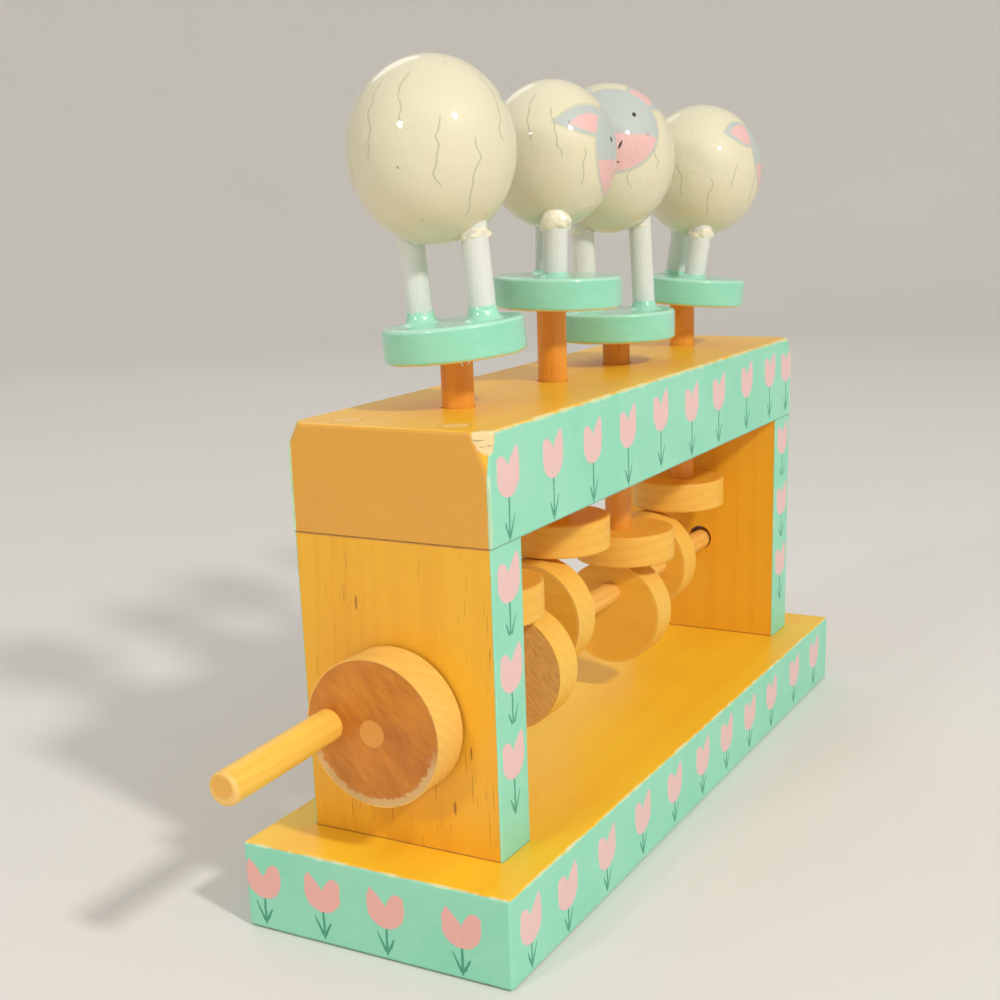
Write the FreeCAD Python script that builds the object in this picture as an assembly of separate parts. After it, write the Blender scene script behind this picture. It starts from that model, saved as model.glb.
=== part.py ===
import FreeCAD, Part
import math
import os
from FreeCAD import Vector

# Wooden crank automaton: turning the crank makes four sheep rise and fall on their platforms.
# The origin is the centre of the base board's underside. +X runs along the frame towards the far
# post, the crank is at -X, -Y is the front and +Z is up. All sizes are in millimetres.

# Base board
base_length = 288.0
base_width = 89.0
base_thickness = 27.0
base_edge_round = 1.0

# Frame of two posts and a beam
frame_length = 250.0
frame_width = 64.0
post_thickness = 17.0
post_height = 90.0
beam_thickness = 31.0
beam_edge_round = 1.2
sanded_corner_along = 5.0
sanded_corner_across = 4.5
sanded_corner_down = 6.5
worn_corner_along = 3.0
worn_corner_across = 6.0
worn_corner_down = 14.0
post_edge_round = 0.8

# Dowels that hold the frame together
joint_dowel_radius = 4.0
joint_dowel_spacing = 35.0
joint_dowel_in_post = 20.0
joint_dowel_in_base = 18.0

# Camshaft and crank
shaft_radius = 4.0
shaft_rise = 38.5
shaft_hole_slack = 0.9
crank_disc_radius = 21.5
crank_disc_thickness = 12.8
crank_disc_gap = 1.1
crank_handle_radius = 4.75
crank_handle_reach = 46.5
crank_handle_offset = 14.4
crank_handle_angle = 2.0
crank_handle_droop = 2.0
crank_handle_seat = 10.0
crank_handle_end_round = 1.2

# Cams and the pegs between them and the shaft
cam_radius = 19.0
cam_thickness = 12.0
cam_throw = 7.5
cam_key_radius = 1.2
cam_key_length = 9.0

# Followers
follower_radius = 18.0
follower_thickness = 11.0
follower_edge_round = 0.8
follower_gap = 0.3
lift_dowel_radius = 4.75
lift_dowel_seat = 6.0
lift_hole_slack = 0.35

# Platforms, each with a sheep
platform_radius = 20.6
platform_thickness = 10.0
platform_edge_round = 1.2
leg_radius = 3.9
leg_seat_in_platform = 3.0
leg_seat_in_body = 6.0

# Each station has a dowel, a cam, a follower disc and a sheep. Cam angles are the way that a cam
# points at rest, in degrees from +Y towards +Z. Headings are in degrees from +X towards +Y. A cam's
# offset is from its dowel along the shaft. Shifts are a disc's place off its dowel, and leans are
# the body's place off it. leg_show is the height of the body's underside above the platform. A
# platform's tilt is towards the side that its sheep leans to, in degrees, and its low_clearance is
# the height of its underside above the beam at the lowest point of the lift.

# Station 1, next to the crank
dowel_1_from_end = 40.0
cam_1_offset = 15.0
cam_1_angle = 180.0
follower_1_shift_x = 2.4
follower_1_shift_y = -5.0
platform_1_shift_x = 0.0
platform_1_shift_y = 0.0
platform_1_low_clearance = 7.0
platform_1_tilt = 4.5
sheep_1_radius = 23.7
sheep_1_half_height = 25.5
sheep_1_leg_show = 21.2
sheep_1_lean_x = -2.0
sheep_1_lean_y = 4.1
sheep_1_heading = 0.0
sheep_1_leg_spread = 21.0

# Station 2
dowel_2_from_middle = 24.0
cam_2_offset = -17.0
cam_2_angle = 90.0
follower_2_shift_x = 0.0
follower_2_shift_y = 0.0
platform_2_shift_x = 0.9
platform_2_shift_y = -1.8
platform_2_low_clearance = 8.5
platform_2_tilt = 1.5
sheep_2_radius = 20.6
sheep_2_half_height = 22.4
sheep_2_leg_show = 14.4
sheep_2_lean_x = 0.5
sheep_2_lean_y = -1.0
sheep_2_heading = 304.0
sheep_2_leg_spread = 20.4

# Station 3
dowel_3_from_middle = 26.0
cam_3_offset = -2.0
cam_3_angle = -90.0
follower_3_shift_x = 1.0
follower_3_shift_y = -2.2
platform_3_shift_x = 0.0
platform_3_shift_y = 0.0
platform_3_low_clearance = 8.5
platform_3_tilt = 0.0
sheep_3_radius = 22.8
sheep_3_half_height = 24.6
sheep_3_leg_show = 26.2
sheep_3_lean_x = -1.0
sheep_3_lean_y = 2.0
sheep_3_heading = 218.0
sheep_3_leg_spread = 20.4

# Station 4, next to the far post
dowel_4_from_end = 37.0
cam_4_offset = -20.0
cam_4_angle = 0.0
follower_4_shift_x = -0.6
follower_4_shift_y = 1.4
platform_4_shift_x = 1.1
platform_4_shift_y = -2.3
platform_4_low_clearance = 8.5
platform_4_tilt = 5.0
sheep_4_radius = 22.9
sheep_4_half_height = 24.0
sheep_4_leg_show = 14.7
sheep_4_lean_x = 3.0
sheep_4_lean_y = -6.2
sheep_4_heading = 313.0
sheep_4_leg_spread = 20.4

# Clearances
glue_fit = 0.03
running_fit = 0.05
seat_fit = 0.05

# Levels and places that follow from the sizes
post_bottom = base_thickness
beam_bottom = post_bottom + post_height
beam_top = beam_bottom + beam_thickness
shaft_z = base_thickness + shaft_rise
post_x = frame_length / 2 - post_thickness / 2
disc_back_x = -frame_length / 2 - crank_disc_gap
disc_front_x = disc_back_x - crank_disc_thickness

X_AXIS = Vector(1, 0, 0)
Z_AXIS = Vector(0, 0, 1)


class Station:
    """One cam with the follower disc, the dowel, the platform and the sheep above it."""

    def __init__(self, number, dowel_x, cam_offset, cam_angle, follower_shift, platform_shift):
        self.number = number
        self.dowel_x = dowel_x
        self.cam_x = dowel_x + cam_offset
        self.cam_angle = math.radians(cam_angle)
        self.follower_place = Vector(dowel_x + follower_shift[0], follower_shift[1], 0)
        self.platform_place = Vector(dowel_x + platform_shift[0], platform_shift[1], 0)

    def carry(self, radius, half_height, leg_show, lean, heading, leg_spread, tilt, low_clearance):
        """Adds the sheep's sizes and how the platform sits."""
        self.body_radius = radius
        self.body_half_height = half_height
        self.leg_show = leg_show
        self.lean = Vector(lean[0], lean[1], 0)
        self.heading = math.radians(heading)
        self.leg_spread = leg_spread
        self.tilt = math.radians(tilt)
        self.low_clearance = low_clearance
        return self


station_1 = Station(
    number=1,
    dowel_x=dowel_1_from_end - frame_length / 2,
    cam_offset=cam_1_offset,
    cam_angle=cam_1_angle,
    follower_shift=(follower_1_shift_x, follower_1_shift_y),
    platform_shift=(platform_1_shift_x, platform_1_shift_y),
).carry(
    radius=sheep_1_radius,
    half_height=sheep_1_half_height,
    leg_show=sheep_1_leg_show,
    lean=(sheep_1_lean_x, sheep_1_lean_y),
    heading=sheep_1_heading,
    leg_spread=sheep_1_leg_spread,
    tilt=platform_1_tilt,
    low_clearance=platform_1_low_clearance,
)
station_2 = Station(
    number=2,
    dowel_x=-dowel_2_from_middle,
    cam_offset=cam_2_offset,
    cam_angle=cam_2_angle,
    follower_shift=(follower_2_shift_x, follower_2_shift_y),
    platform_shift=(platform_2_shift_x, platform_2_shift_y),
).carry(
    radius=sheep_2_radius,
    half_height=sheep_2_half_height,
    leg_show=sheep_2_leg_show,
    lean=(sheep_2_lean_x, sheep_2_lean_y),
    heading=sheep_2_heading,
    leg_spread=sheep_2_leg_spread,
    tilt=platform_2_tilt,
    low_clearance=platform_2_low_clearance,
)
station_3 = Station(
    number=3,
    dowel_x=dowel_3_from_middle,
    cam_offset=cam_3_offset,
    cam_angle=cam_3_angle,
    follower_shift=(follower_3_shift_x, follower_3_shift_y),
    platform_shift=(platform_3_shift_x, platform_3_shift_y),
).carry(
    radius=sheep_3_radius,
    half_height=sheep_3_half_height,
    leg_show=sheep_3_leg_show,
    lean=(sheep_3_lean_x, sheep_3_lean_y),
    heading=sheep_3_heading,
    leg_spread=sheep_3_leg_spread,
    tilt=platform_3_tilt,
    low_clearance=platform_3_low_clearance,
)
station_4 = Station(
    number=4,
    dowel_x=frame_length / 2 - dowel_4_from_end,
    cam_offset=cam_4_offset,
    cam_angle=cam_4_angle,
    follower_shift=(follower_4_shift_x, follower_4_shift_y),
    platform_shift=(platform_4_shift_x, platform_4_shift_y),
).carry(
    radius=sheep_4_radius,
    half_height=sheep_4_half_height,
    leg_show=sheep_4_leg_show,
    lean=(sheep_4_lean_x, sheep_4_lean_y),
    heading=sheep_4_heading,
    leg_spread=sheep_4_leg_spread,
    tilt=platform_4_tilt,
    low_clearance=platform_4_low_clearance,
)
stations = [station_1, station_2, station_3, station_4]


def box(length, width, height, centre_x, bottom_z):
    """A block centred on the frame's middle plane, standing on bottom_z."""
    corner = Vector(centre_x - length / 2, -width / 2, bottom_z)
    return Part.makeBox(length, width, height, corner)


def rod_x(radius, start_x, length, y, z):
    """A round rod that runs along +X."""
    return Part.makeCylinder(radius, length, Vector(start_x, y, z), X_AXIS)


def rod_z(radius, height, x, y, bottom_z):
    """A round rod that runs upwards."""
    return Part.makeCylinder(radius, height, Vector(x, y, bottom_z), Z_AXIS)


def round_rims(shape, radius):
    """Rounds the circular edges of a plain disc or rod."""
    rims = [edge for edge in shape.Edges if isinstance(edge.Curve, Part.Circle)]
    return shape.makeFillet(radius, rims)


def round_all(shape, radius):
    """Rounds every edge of a plain block."""
    return shape.makeFillet(radius, shape.Edges)


def upright_edges(shape):
    """The edges of a block that run along Z."""
    return [e for e in shape.Edges if e.BoundBox.ZLength > max(e.BoundBox.XLength, e.BoundBox.YLength)]


def joint_dowel_places():
    """The middle of each dowel joint between a post, the beam and the base."""
    for x in (-post_x, post_x):
        for y in (-joint_dowel_spacing / 2, joint_dowel_spacing / 2):
            yield x, y


def base_board():
    board = round_all(box(base_length, base_width, base_thickness, 0, 0), base_edge_round)
    hole_bottom = base_thickness - joint_dowel_in_base - seat_fit
    for x, y in joint_dowel_places():
        board = board.cut(rod_z(joint_dowel_radius + glue_fit, base_thickness, x, y, hole_bottom))
    return board


def base_dowels():
    bottom = base_thickness - joint_dowel_in_base
    height = joint_dowel_in_base + joint_dowel_in_post
    dowels = [rod_z(joint_dowel_radius, height, x, y, bottom) for x, y in joint_dowel_places()]
    return Part.makeCompound(dowels)


def post(centre_x):
    """An upright with the camshaft's loose hole and blind holes for the joint dowels at both ends."""
    block = box(post_thickness, frame_width, post_height, centre_x, post_bottom)
    block = block.makeFillet(post_edge_round, upright_edges(block))
    hole_radius = shaft_radius + shaft_hole_slack
    hole_z = shaft_z + shaft_hole_slack - running_fit
    block = block.cut(rod_x(hole_radius, centre_x - post_thickness, 2 * post_thickness, 0, hole_z))
    depth = joint_dowel_in_post + seat_fit
    for x, y in joint_dowel_places():
        if abs(x - centre_x) < post_thickness / 2:
            lower = rod_z(joint_dowel_radius + glue_fit, depth, x, y, post_bottom)
            upper = rod_z(joint_dowel_radius + glue_fit, depth, x, y, beam_bottom - depth)
            block = block.cut(lower).cut(upper)
    return block


def corner_cutter(side_x, side_y, along, across, down):
    """A tetrahedron that takes off one sanded top corner of the beam."""
    corner = Vector(side_x * frame_length / 2, side_y * frame_width / 2, beam_top)
    points = [
        corner + Vector(-side_x * along, 0, 0),
        corner + Vector(0, -side_y * across, 0),
        corner + Vector(0, 0, -down),
    ]
    faces = []
    for ring in ((0, 1, 2), (0, 1, None), (1, 2, None), (2, 0, None)):
        outline = [corner if i is None else points[i] for i in ring]
        faces.append(Part.Face(Part.makePolygon(outline + outline[:1])))
    return Part.makeSolid(Part.makeShell(faces))


def top_beam():
    """The thick board on the posts. Its front corner at the crank is worn more than the other three."""
    beam = box(frame_length, frame_width, beam_thickness, 0, beam_bottom)
    beam = beam.cut(corner_cutter(-1, -1, worn_corner_along, worn_corner_across, worn_corner_down))
    for side_x, side_y in ((1, -1), (1, 1), (-1, 1)):
        sanded = corner_cutter(side_x, side_y, sanded_corner_along, sanded_corner_across, sanded_corner_down)
        beam = beam.cut(sanded)
    beam = beam.makeFillet(beam_edge_round, [e for e in beam.Edges if e.BoundBox.ZMin > beam_bottom + 0.1])
    for x, y in joint_dowel_places():
        beam = beam.cut(rod_z(joint_dowel_radius + glue_fit, beam_thickness, x, y, beam_bottom))
    for station in stations:
        hole = rod_z(lift_dowel_radius + lift_hole_slack, beam_thickness, station.dowel_x, 0, beam_bottom)
        beam = beam.cut(hole)
    return beam


def beam_dowels():
    bottom = beam_bottom - joint_dowel_in_post
    height = beam_thickness + joint_dowel_in_post
    dowels = [rod_z(joint_dowel_radius, height, x, y, bottom) for x, y in joint_dowel_places()]
    return Part.makeCompound(dowels)


def key_centre(station):
    """The middle of the peg between cam and shaft, half the throw from the shaft's axis."""
    y = cam_throw / 2 * math.cos(station.cam_angle)
    z = shaft_z + cam_throw / 2 * math.sin(station.cam_angle)
    return y, z


def key_start_x(station):
    """The hidden end of the peg: its hole is open at the cam's far side only."""
    return station.cam_x + cam_thickness / 2 - cam_key_length


def key_hole(station):
    y, z = key_centre(station)
    start = key_start_x(station) - seat_fit
    return rod_x(cam_key_radius + running_fit, start, cam_key_length + 2 * seat_fit, y, z)


def camshaft():
    shaft = rod_x(shaft_radius, disc_front_x, frame_length / 2 - disc_front_x, 0, shaft_z)
    for station in stations:
        shaft = shaft.cut(key_hole(station))
    return shaft


def cam_key(station):
    y, z = key_centre(station)
    return rod_x(cam_key_radius, key_start_x(station), cam_key_length, y, z)


def cam(station):
    y = cam_throw * math.cos(station.cam_angle)
    z = shaft_z + cam_throw * math.sin(station.cam_angle)
    start = station.cam_x - cam_thickness / 2
    disc = rod_x(cam_radius, start, cam_thickness, y, z)
    disc = disc.cut(rod_x(shaft_radius + glue_fit, start, cam_thickness, 0, shaft_z))
    return disc.cut(key_hole(station))


def handle_line():
    """Where the handle leaves the crank disc's face, and the way that it points outwards."""
    angle = math.radians(crank_handle_angle)
    droop = math.radians(crank_handle_droop)
    y = crank_handle_offset * math.cos(angle)
    z = shaft_z + crank_handle_offset * math.sin(angle)
    return Vector(disc_front_x, y, z), Vector(-math.cos(droop), 0, -math.sin(droop))


def crank_disc():
    disc = rod_x(crank_disc_radius, disc_front_x, crank_disc_thickness, 0, shaft_z)
    disc = disc.cut(rod_x(shaft_radius + glue_fit, disc_front_x, crank_disc_thickness, 0, shaft_z))
    place, outward = handle_line()
    depth = crank_handle_seat + seat_fit
    bore_radius = crank_handle_radius + glue_fit
    return disc.cut(Part.makeCylinder(bore_radius, 2 * depth, place - outward * depth, outward))


def crank_handle():
    place, outward = handle_line()
    length = crank_handle_reach + crank_handle_seat
    rod = Part.makeCylinder(crank_handle_radius, length, place - outward * crank_handle_seat, outward)
    rims = [e for e in rod.Edges if isinstance(e.Curve, Part.Circle)]
    outer_rim = min(rims, key=lambda e: e.CenterOfMass.x)
    return rod.makeFillet(crank_handle_end_round, [outer_rim])


def follower_bottom(station):
    return shaft_z + cam_throw * math.sin(station.cam_angle) + cam_radius + follower_gap


def platform_bottom(station):
    return beam_top + station.low_clearance + cam_throw * (1 + math.sin(station.cam_angle))


def follower_disc(station):
    bottom = follower_bottom(station)
    place = station.follower_place
    disc = rod_z(follower_radius, follower_thickness, place.x, place.y, bottom)
    disc = round_rims(disc, follower_edge_round)
    socket_bottom = bottom + follower_thickness - lift_dowel_seat - seat_fit
    return disc.cut(rod_z(lift_dowel_radius + glue_fit, follower_thickness, station.dowel_x, 0, socket_bottom))


def lift_dowel(station):
    bottom = follower_bottom(station) + follower_thickness - lift_dowel_seat
    top = platform_bottom(station) + lift_dowel_seat
    return rod_z(lift_dowel_radius, top - bottom, station.dowel_x, 0, bottom)


def platform_normal(station):
    """The way that the platform's top faces."""
    level = Vector(station.lean).normalize()
    return level * math.sin(station.tilt) + Z_AXIS * math.cos(station.tilt)


def body_centre(station):
    height = platform_bottom(station) + platform_thickness + station.leg_show + station.body_half_height
    return Vector(station.dowel_x, 0, height) + station.lean


def leg_line(station, side):
    """The leg's lower end, its direction and its length. side is 1 for the sheep's left leg."""
    normal = platform_normal(station)
    across = Vector(-math.sin(station.heading), math.cos(station.heading), 0)
    across = (across - normal * across.dot(normal)).normalize() * (side * station.leg_spread / 2)
    middle = Vector(station.dowel_x, 0, platform_bottom(station)) + normal * platform_thickness
    foot = middle + across
    direction = (body_centre(station) - middle).normalize()
    body_share = math.sqrt(1 - (station.leg_spread / 2 / station.body_radius) ** 2)
    entry_z = body_centre(station).z - station.body_half_height * body_share
    bottom = foot - direction * leg_seat_in_platform
    length = leg_seat_in_platform + (entry_z + leg_seat_in_body - foot.z) / direction.z
    return bottom, direction, length


def leg_hole(station, side):
    bottom, direction, length = leg_line(station, side)
    start = bottom - direction * seat_fit
    return Part.makeCylinder(leg_radius + glue_fit, length + 2 * seat_fit, start, direction)


def platform(station):
    bottom = platform_bottom(station)
    base = station.platform_place + Z_AXIS * bottom
    disc = Part.makeCylinder(platform_radius, platform_thickness, base, platform_normal(station))
    disc = round_rims(disc, platform_edge_round)
    socket_depth = lift_dowel_seat + seat_fit
    socket_radius = lift_dowel_radius + running_fit
    disc = disc.cut(rod_z(socket_radius, 2 * socket_depth, station.dowel_x, 0, bottom - socket_depth))
    return disc.cut(leg_hole(station, 1)).cut(leg_hole(station, -1))


def sheep_leg(station, side):
    bottom, direction, length = leg_line(station, side)
    return Part.makeCylinder(leg_radius, length, bottom, direction)


def sheep_body(station):
    """An egg that stands upright: half an ellipse turned about its long axis."""
    centre = body_centre(station)
    top = centre + Z_AXIS * station.body_half_height
    ellipse = Part.Ellipse(top, centre + X_AXIS * station.body_radius, centre)
    upper_arc = Part.Arc(ellipse, 0.0, math.pi / 2).toShape()
    lower_arc = Part.Arc(ellipse, math.pi / 2, math.pi).toShape()
    axis_line = Part.makeLine(centre - Z_AXIS * station.body_half_height, top)
    half = Part.Face(Part.Wire([upper_arc, lower_arc, axis_line]))
    egg = half.revolve(centre, Z_AXIS, 360)
    return egg.cut(leg_hole(station, 1)).cut(leg_hole(station, -1))


def build():
    """All nodes by name."""
    nodes = {
        "base_board": base_board(),
        "base_dowels": base_dowels(),
        "crank_post": post(-post_x),
        "far_post": post(post_x),
        "top_beam": top_beam(),
        "beam_dowels": beam_dowels(),
        "camshaft": camshaft(),
        "crank_disc": crank_disc(),
        "crank_handle": crank_handle(),
    }
    for station in stations:
        nodes[f"cam_{station.number}"] = cam(station)
        nodes[f"cam_key_{station.number}"] = cam_key(station)
        nodes[f"follower_disc_{station.number}"] = follower_disc(station)
        nodes[f"lift_dowel_{station.number}"] = lift_dowel(station)
        nodes[f"platform_{station.number}"] = platform(station)
        nodes[f"sheep_{station.number}_left_leg"] = sheep_leg(station, 1)
        nodes[f"sheep_{station.number}_right_leg"] = sheep_leg(station, -1)
        nodes[f"sheep_{station.number}_body"] = sheep_body(station)
    return nodes


os.makedirs("parts", exist_ok=True)
for node_name, node_shape in build().items():
    node_shape.exportStep(f"parts/{node_name}.step")
    print(node_name, len(node_shape.Solids), round(node_shape.Volume, 1), node_shape.isValid())
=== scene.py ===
"""Looks of the wooden crank automaton: varnished pine, mint paint with tulips, and four painted sheep.

The packed CAD model is the frame. Every CAD node stays where it is and gets a procedural finish. New
pieces are the glue at the tops of the legs, the paint that climbs the legs' feet, and the fibres that
stick out of the platforms' paint. Lengths in the shaders are in millimetres, lengths of meshes in metres.
"""

import logging
import math
from dataclasses import dataclass, field
from enum import Enum
from typing import Callable, Iterable, Optional, Sequence, Union

import bmesh
import bpy
from mathutils import Matrix, Vector, noise

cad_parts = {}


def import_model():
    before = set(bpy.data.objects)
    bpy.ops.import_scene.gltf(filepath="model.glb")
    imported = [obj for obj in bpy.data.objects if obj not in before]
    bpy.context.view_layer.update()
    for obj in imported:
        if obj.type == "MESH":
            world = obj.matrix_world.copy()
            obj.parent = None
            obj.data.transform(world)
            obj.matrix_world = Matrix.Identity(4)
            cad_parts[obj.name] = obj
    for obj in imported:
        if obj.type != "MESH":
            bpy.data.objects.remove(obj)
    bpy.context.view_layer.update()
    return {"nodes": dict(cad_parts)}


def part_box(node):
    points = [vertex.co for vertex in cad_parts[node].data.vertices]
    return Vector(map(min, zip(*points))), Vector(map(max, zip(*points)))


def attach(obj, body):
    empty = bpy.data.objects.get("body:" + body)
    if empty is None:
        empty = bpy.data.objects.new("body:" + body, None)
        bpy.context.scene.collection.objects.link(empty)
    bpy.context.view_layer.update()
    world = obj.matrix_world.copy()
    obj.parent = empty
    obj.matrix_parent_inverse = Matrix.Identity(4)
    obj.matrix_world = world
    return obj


LOG = logging.getLogger("crank_automaton")

MM = 0.001

# Levels and half sizes that the finishes share with the CAD source, in millimetres
BASE_HALF_LENGTH = 144.0
BASE_HALF_WIDTH = 44.5
BASE_TOP = 27.0
FRAME_HALF_LENGTH = 125.0
FRAME_HALF_WIDTH = 32.0
POST_THICKNESS = 17.0
BEAM_BOTTOM = 117.0
BEAM_TOP = 148.0
SHAFT_Z = 65.5
DISC_FRONT_X = -138.9
DISC_RADIUS = 21.5
CAM_RADIUS = 19.0
CAM_THROW = 7.5
FOLLOWER_RADIUS = 18.0
LEG_RADIUS = 3.9
PLATFORM_RADIUS = 20.6
PLATFORM_THICKNESS = 10.0
JOINT_DOWEL_X = 116.5
JOINT_DOWEL_Y = 17.5
JOINT_DOWEL_RADIUS = 4.0


class Axis(Enum):
    """A direction of the part's frame."""

    X = 0
    Y = 1
    Z = 2


def colour(red: float, green: float, blue: float) -> tuple[float, float, float, float]:
    """Turns a colour written as it looks on screen, 0 to 255, into the linear values that nodes use.

    Args:
        red: Red, 0 to 255.
        green: Green, 0 to 255.
        blue: Blue, 0 to 255.

    Returns:
        The linear colour with an alpha of 1.
    """
    linear = []
    for part in (red, green, blue):
        share = part / 255
        linear.append(share / 12.92 if share <= 0.04045 else ((share + 0.055) / 1.055) ** 2.4)
    return (*linear, 1.0)


# ---- Shader expressions ----


Number = Union[float, int, "Term"]
Tone = Union[tuple, "Term"]


def operator(operation: str, words: str, swapped: bool = False) -> Callable[["Term", Number], "Term"]:
    """Makes a method of Term out of an operation of the Math node.

    Args:
        operation: What the node does.
        words: The method's docstring.
        swapped: True where the other value comes first.

    Returns:
        The method.
    """

    def method(self: "Term", other: Number) -> "Term":
        first, second = (other, self) if swapped else (self, other)
        return self.sheet.maths(operation, first, second)

    method.__doc__ = words
    return method


class Term:
    """A socket of a material's node tree that is used in sums like a number."""

    __add__ = operator("ADD", "This plus other.")
    __radd__ = operator("ADD", "Other plus this.", swapped=True)
    __sub__ = operator("SUBTRACT", "This minus other.")
    __rsub__ = operator("SUBTRACT", "Other minus this.", swapped=True)
    __mul__ = operator("MULTIPLY", "This times other.")
    __truediv__ = operator("DIVIDE", "This divided by other.")
    __pow__ = operator("POWER", "This to the power of other.")
    least = operator("MINIMUM", "The smaller of this and other.")
    most = operator("MAXIMUM", "The larger of this and other.")

    def __init__(self, sheet: "NodeSheet", socket: bpy.types.NodeSocket) -> None:
        """Keeps the tree and the socket."""
        self.sheet = sheet
        self.socket = socket

    def __abs__(self) -> "Term":
        """This without its sign."""
        return self.sheet.maths("ABSOLUTE", self)

    def clamped(self) -> "Term":
        """This, held between 0 and 1."""
        return self.most(0.0).least(1.0)

    def fraction(self) -> "Term":
        """The part after the decimal point."""
        return self.sheet.maths("FRACT", self)

    def floor(self) -> "Term":
        """The next whole number below."""
        return self.sheet.maths("FLOOR", self)

    def root(self) -> "Term":
        """The square root."""
        return self.sheet.maths("SQRT", self)

    def below(self, edge: Number, soft: float) -> "Term":
        """1 where this is below an edge and 0 above it, over a soft border.

        Args:
            edge: The value at the middle of the border.
            soft: The border's width.

        Returns:
            The mask.
        """
        return self.sheet.mapped(self, edge, soft, 1.0, 0.0)

    def above(self, edge: Number, soft: float) -> "Term":
        """1 where this is above an edge and 0 below it, over a border of the width soft."""
        return self.sheet.mapped(self, edge, soft, 0.0, 1.0)


class NodeSheet:
    """One material's node tree, with the few nodes that the finishes are written in."""

    def __init__(self, name: str) -> None:
        """Makes an empty material of that name."""
        self.material = bpy.data.materials.new(name)
        self.material.use_nodes = True
        self.tree = self.material.node_tree
        self.tree.nodes.clear()
        self._place: Optional[tuple[Term, Term, Term]] = None

    def node(
        self, kind: str, inputs: Optional[dict] = None, settings: Optional[dict] = None
    ) -> bpy.types.Node:
        """Makes any node.

        Args:
            kind: The node's type.
            inputs: Values or terms for its sockets, by name or number.
            settings: Its own settings, which are set first.

        Returns:
            The node.
        """
        made = self.tree.nodes.new(kind)
        for key, value in (settings or {}).items():
            setattr(made, key, value)
        for key, value in (inputs or {}).items():
            if isinstance(value, Term):
                self.tree.links.new(value.socket, made.inputs[key])
            else:
                made.inputs[key].default_value = value
        return made

    def term(self, kind: str, inputs: dict, settings: Optional[dict] = None, output: int = 0) -> Term:
        """One output of a node that is made as node() makes it."""
        return Term(self, self.node(kind, inputs, settings).outputs[output])

    def parts(self, kind: str, value: Term) -> tuple[Term, Term, Term]:
        """The three outputs of a node that takes a vector or a colour apart."""
        made = self.node(kind, {0: value})
        return tuple(Term(self, made.outputs[i]) for i in range(3))

    def maths(self, operation: str, *values: Number) -> Term:
        """The result of one Math node with these values."""
        return self.term("ShaderNodeMath", dict(enumerate(values)), {"operation": operation})

    def mapped(self, value: Term, edge: Number, soft: float, low: float, high: float) -> Term:
        """A smooth step of value from low to high across edge, over the width soft."""
        inputs = {0: value, 1: edge - soft / 2, 2: edge + soft / 2, 3: low, 4: high}
        return self.term("ShaderNodeMapRange", inputs, {"interpolation_type": "SMOOTHSTEP"})

    def distance(self, *offsets: Term) -> Term:
        """The root of the offsets' summed squares."""
        total = offsets[0] * offsets[0]
        for offset in offsets[1:]:
            total = total + offset * offset
        return self.maths("SQRT", total)

    def place(self) -> tuple[Term, Term, Term]:
        """The point on the piece at rest, as x, y and z in millimetres."""
        if self._place is None:
            point = Term(self, self.node("ShaderNodeTexCoord").outputs["Object"])
            scaled = self.term("ShaderNodeVectorMath", {0: point, "Scale": 1 / MM}, {"operation": "SCALE"})
            self._place = self.parts("ShaderNodeSeparateXYZ", scaled)
        return self._place

    def noise(
        self, point: Sequence[Number], scale: float, detail: float = 2.0, roughness: float = 0.5
    ) -> Term:
        """Soft noise from 0 to 1, about 0.5 on average.

        Args:
            point: The x, y and z that it is read at.
            scale: How many lumps there are to a unit of the point.
            detail: How many finer layers it has.
            roughness: How strong these are.

        Returns:
            The noise.
        """
        vector = self.term("ShaderNodeCombineXYZ", dict(enumerate(point)))
        inputs = {"Vector": vector, "Scale": scale, "Detail": detail, "Roughness": roughness}
        return self.term("ShaderNodeTexNoise", inputs, {"noise_dimensions": "3D"})

    def dice(self, value: Number, seed: float) -> Term:
        """A random number from 0 to 1 that is the same for the same value."""
        vector = self.term("ShaderNodeCombineXYZ", {0: value, 1: seed})
        return self.term("ShaderNodeTexWhiteNoise", {"Vector": vector}, {"noise_dimensions": "3D"})

    def mix(self, share: Number, first: Tone, second: Tone) -> Term:
        """One colour turning into another.

        Args:
            share: 0 for the first colour, 1 for the second.
            first: The first colour.
            second: The second colour.

        Returns:
            The mixed colour.
        """
        return self.term("ShaderNodeMix", {0: share, 6: first, 7: second}, {"data_type": "RGBA"}, output=2)

    def coats(self, base: Tone, *coats: tuple[Number, Tone]) -> Term:
        """A colour under others that lie one over the other, each given with its share first."""
        for share, tone in coats:
            base = self.mix(share, base, tone)
        return base

    def steps(self, value: Term, stops: Sequence[tuple[float, tuple]]) -> Term:
        """The colour of the last stop before value.

        Args:
            value: A number from 0 to 1.
            stops: Places from 0 to 1 in order, each with its colour.

        Returns:
            The colour.
        """
        made = self.node("ShaderNodeValToRGB", {0: value})
        ramp = made.color_ramp
        ramp.interpolation = "CONSTANT"
        while len(ramp.elements) < len(stops):
            ramp.elements.new(1.0)
        for element, (place, tone) in zip(ramp.elements, stops):
            element.position = place
            element.color = tone
        return Term(self, made.outputs[0])

    def finish(
        self, base: Term, roughness: Number, height: Optional[Term], gloss: "Gloss"
    ) -> bpy.types.Material:
        """Closes the tree with its surface.

        Args:
            base: The base colour.
            roughness: The roughness.
            height: The relief in millimetres, or None.
            gloss: The constants of the surface.

        Returns:
            The material.
        """
        inputs = {
            "Base Color": base,
            "Roughness": roughness,
            "Coat Weight": gloss.coat,
            "Coat Roughness": gloss.coat_roughness,
            "Specular IOR Level": gloss.specular,
        }
        if height is not None:
            relief = {"Strength": 1.0, "Distance": MM, "Height": height}
            inputs["Normal"] = self.term("ShaderNodeBump", relief)
        surface = self.term("ShaderNodeBsdfPrincipled", inputs)
        self.node("ShaderNodeOutputMaterial", {0: surface})
        return self.material


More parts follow.
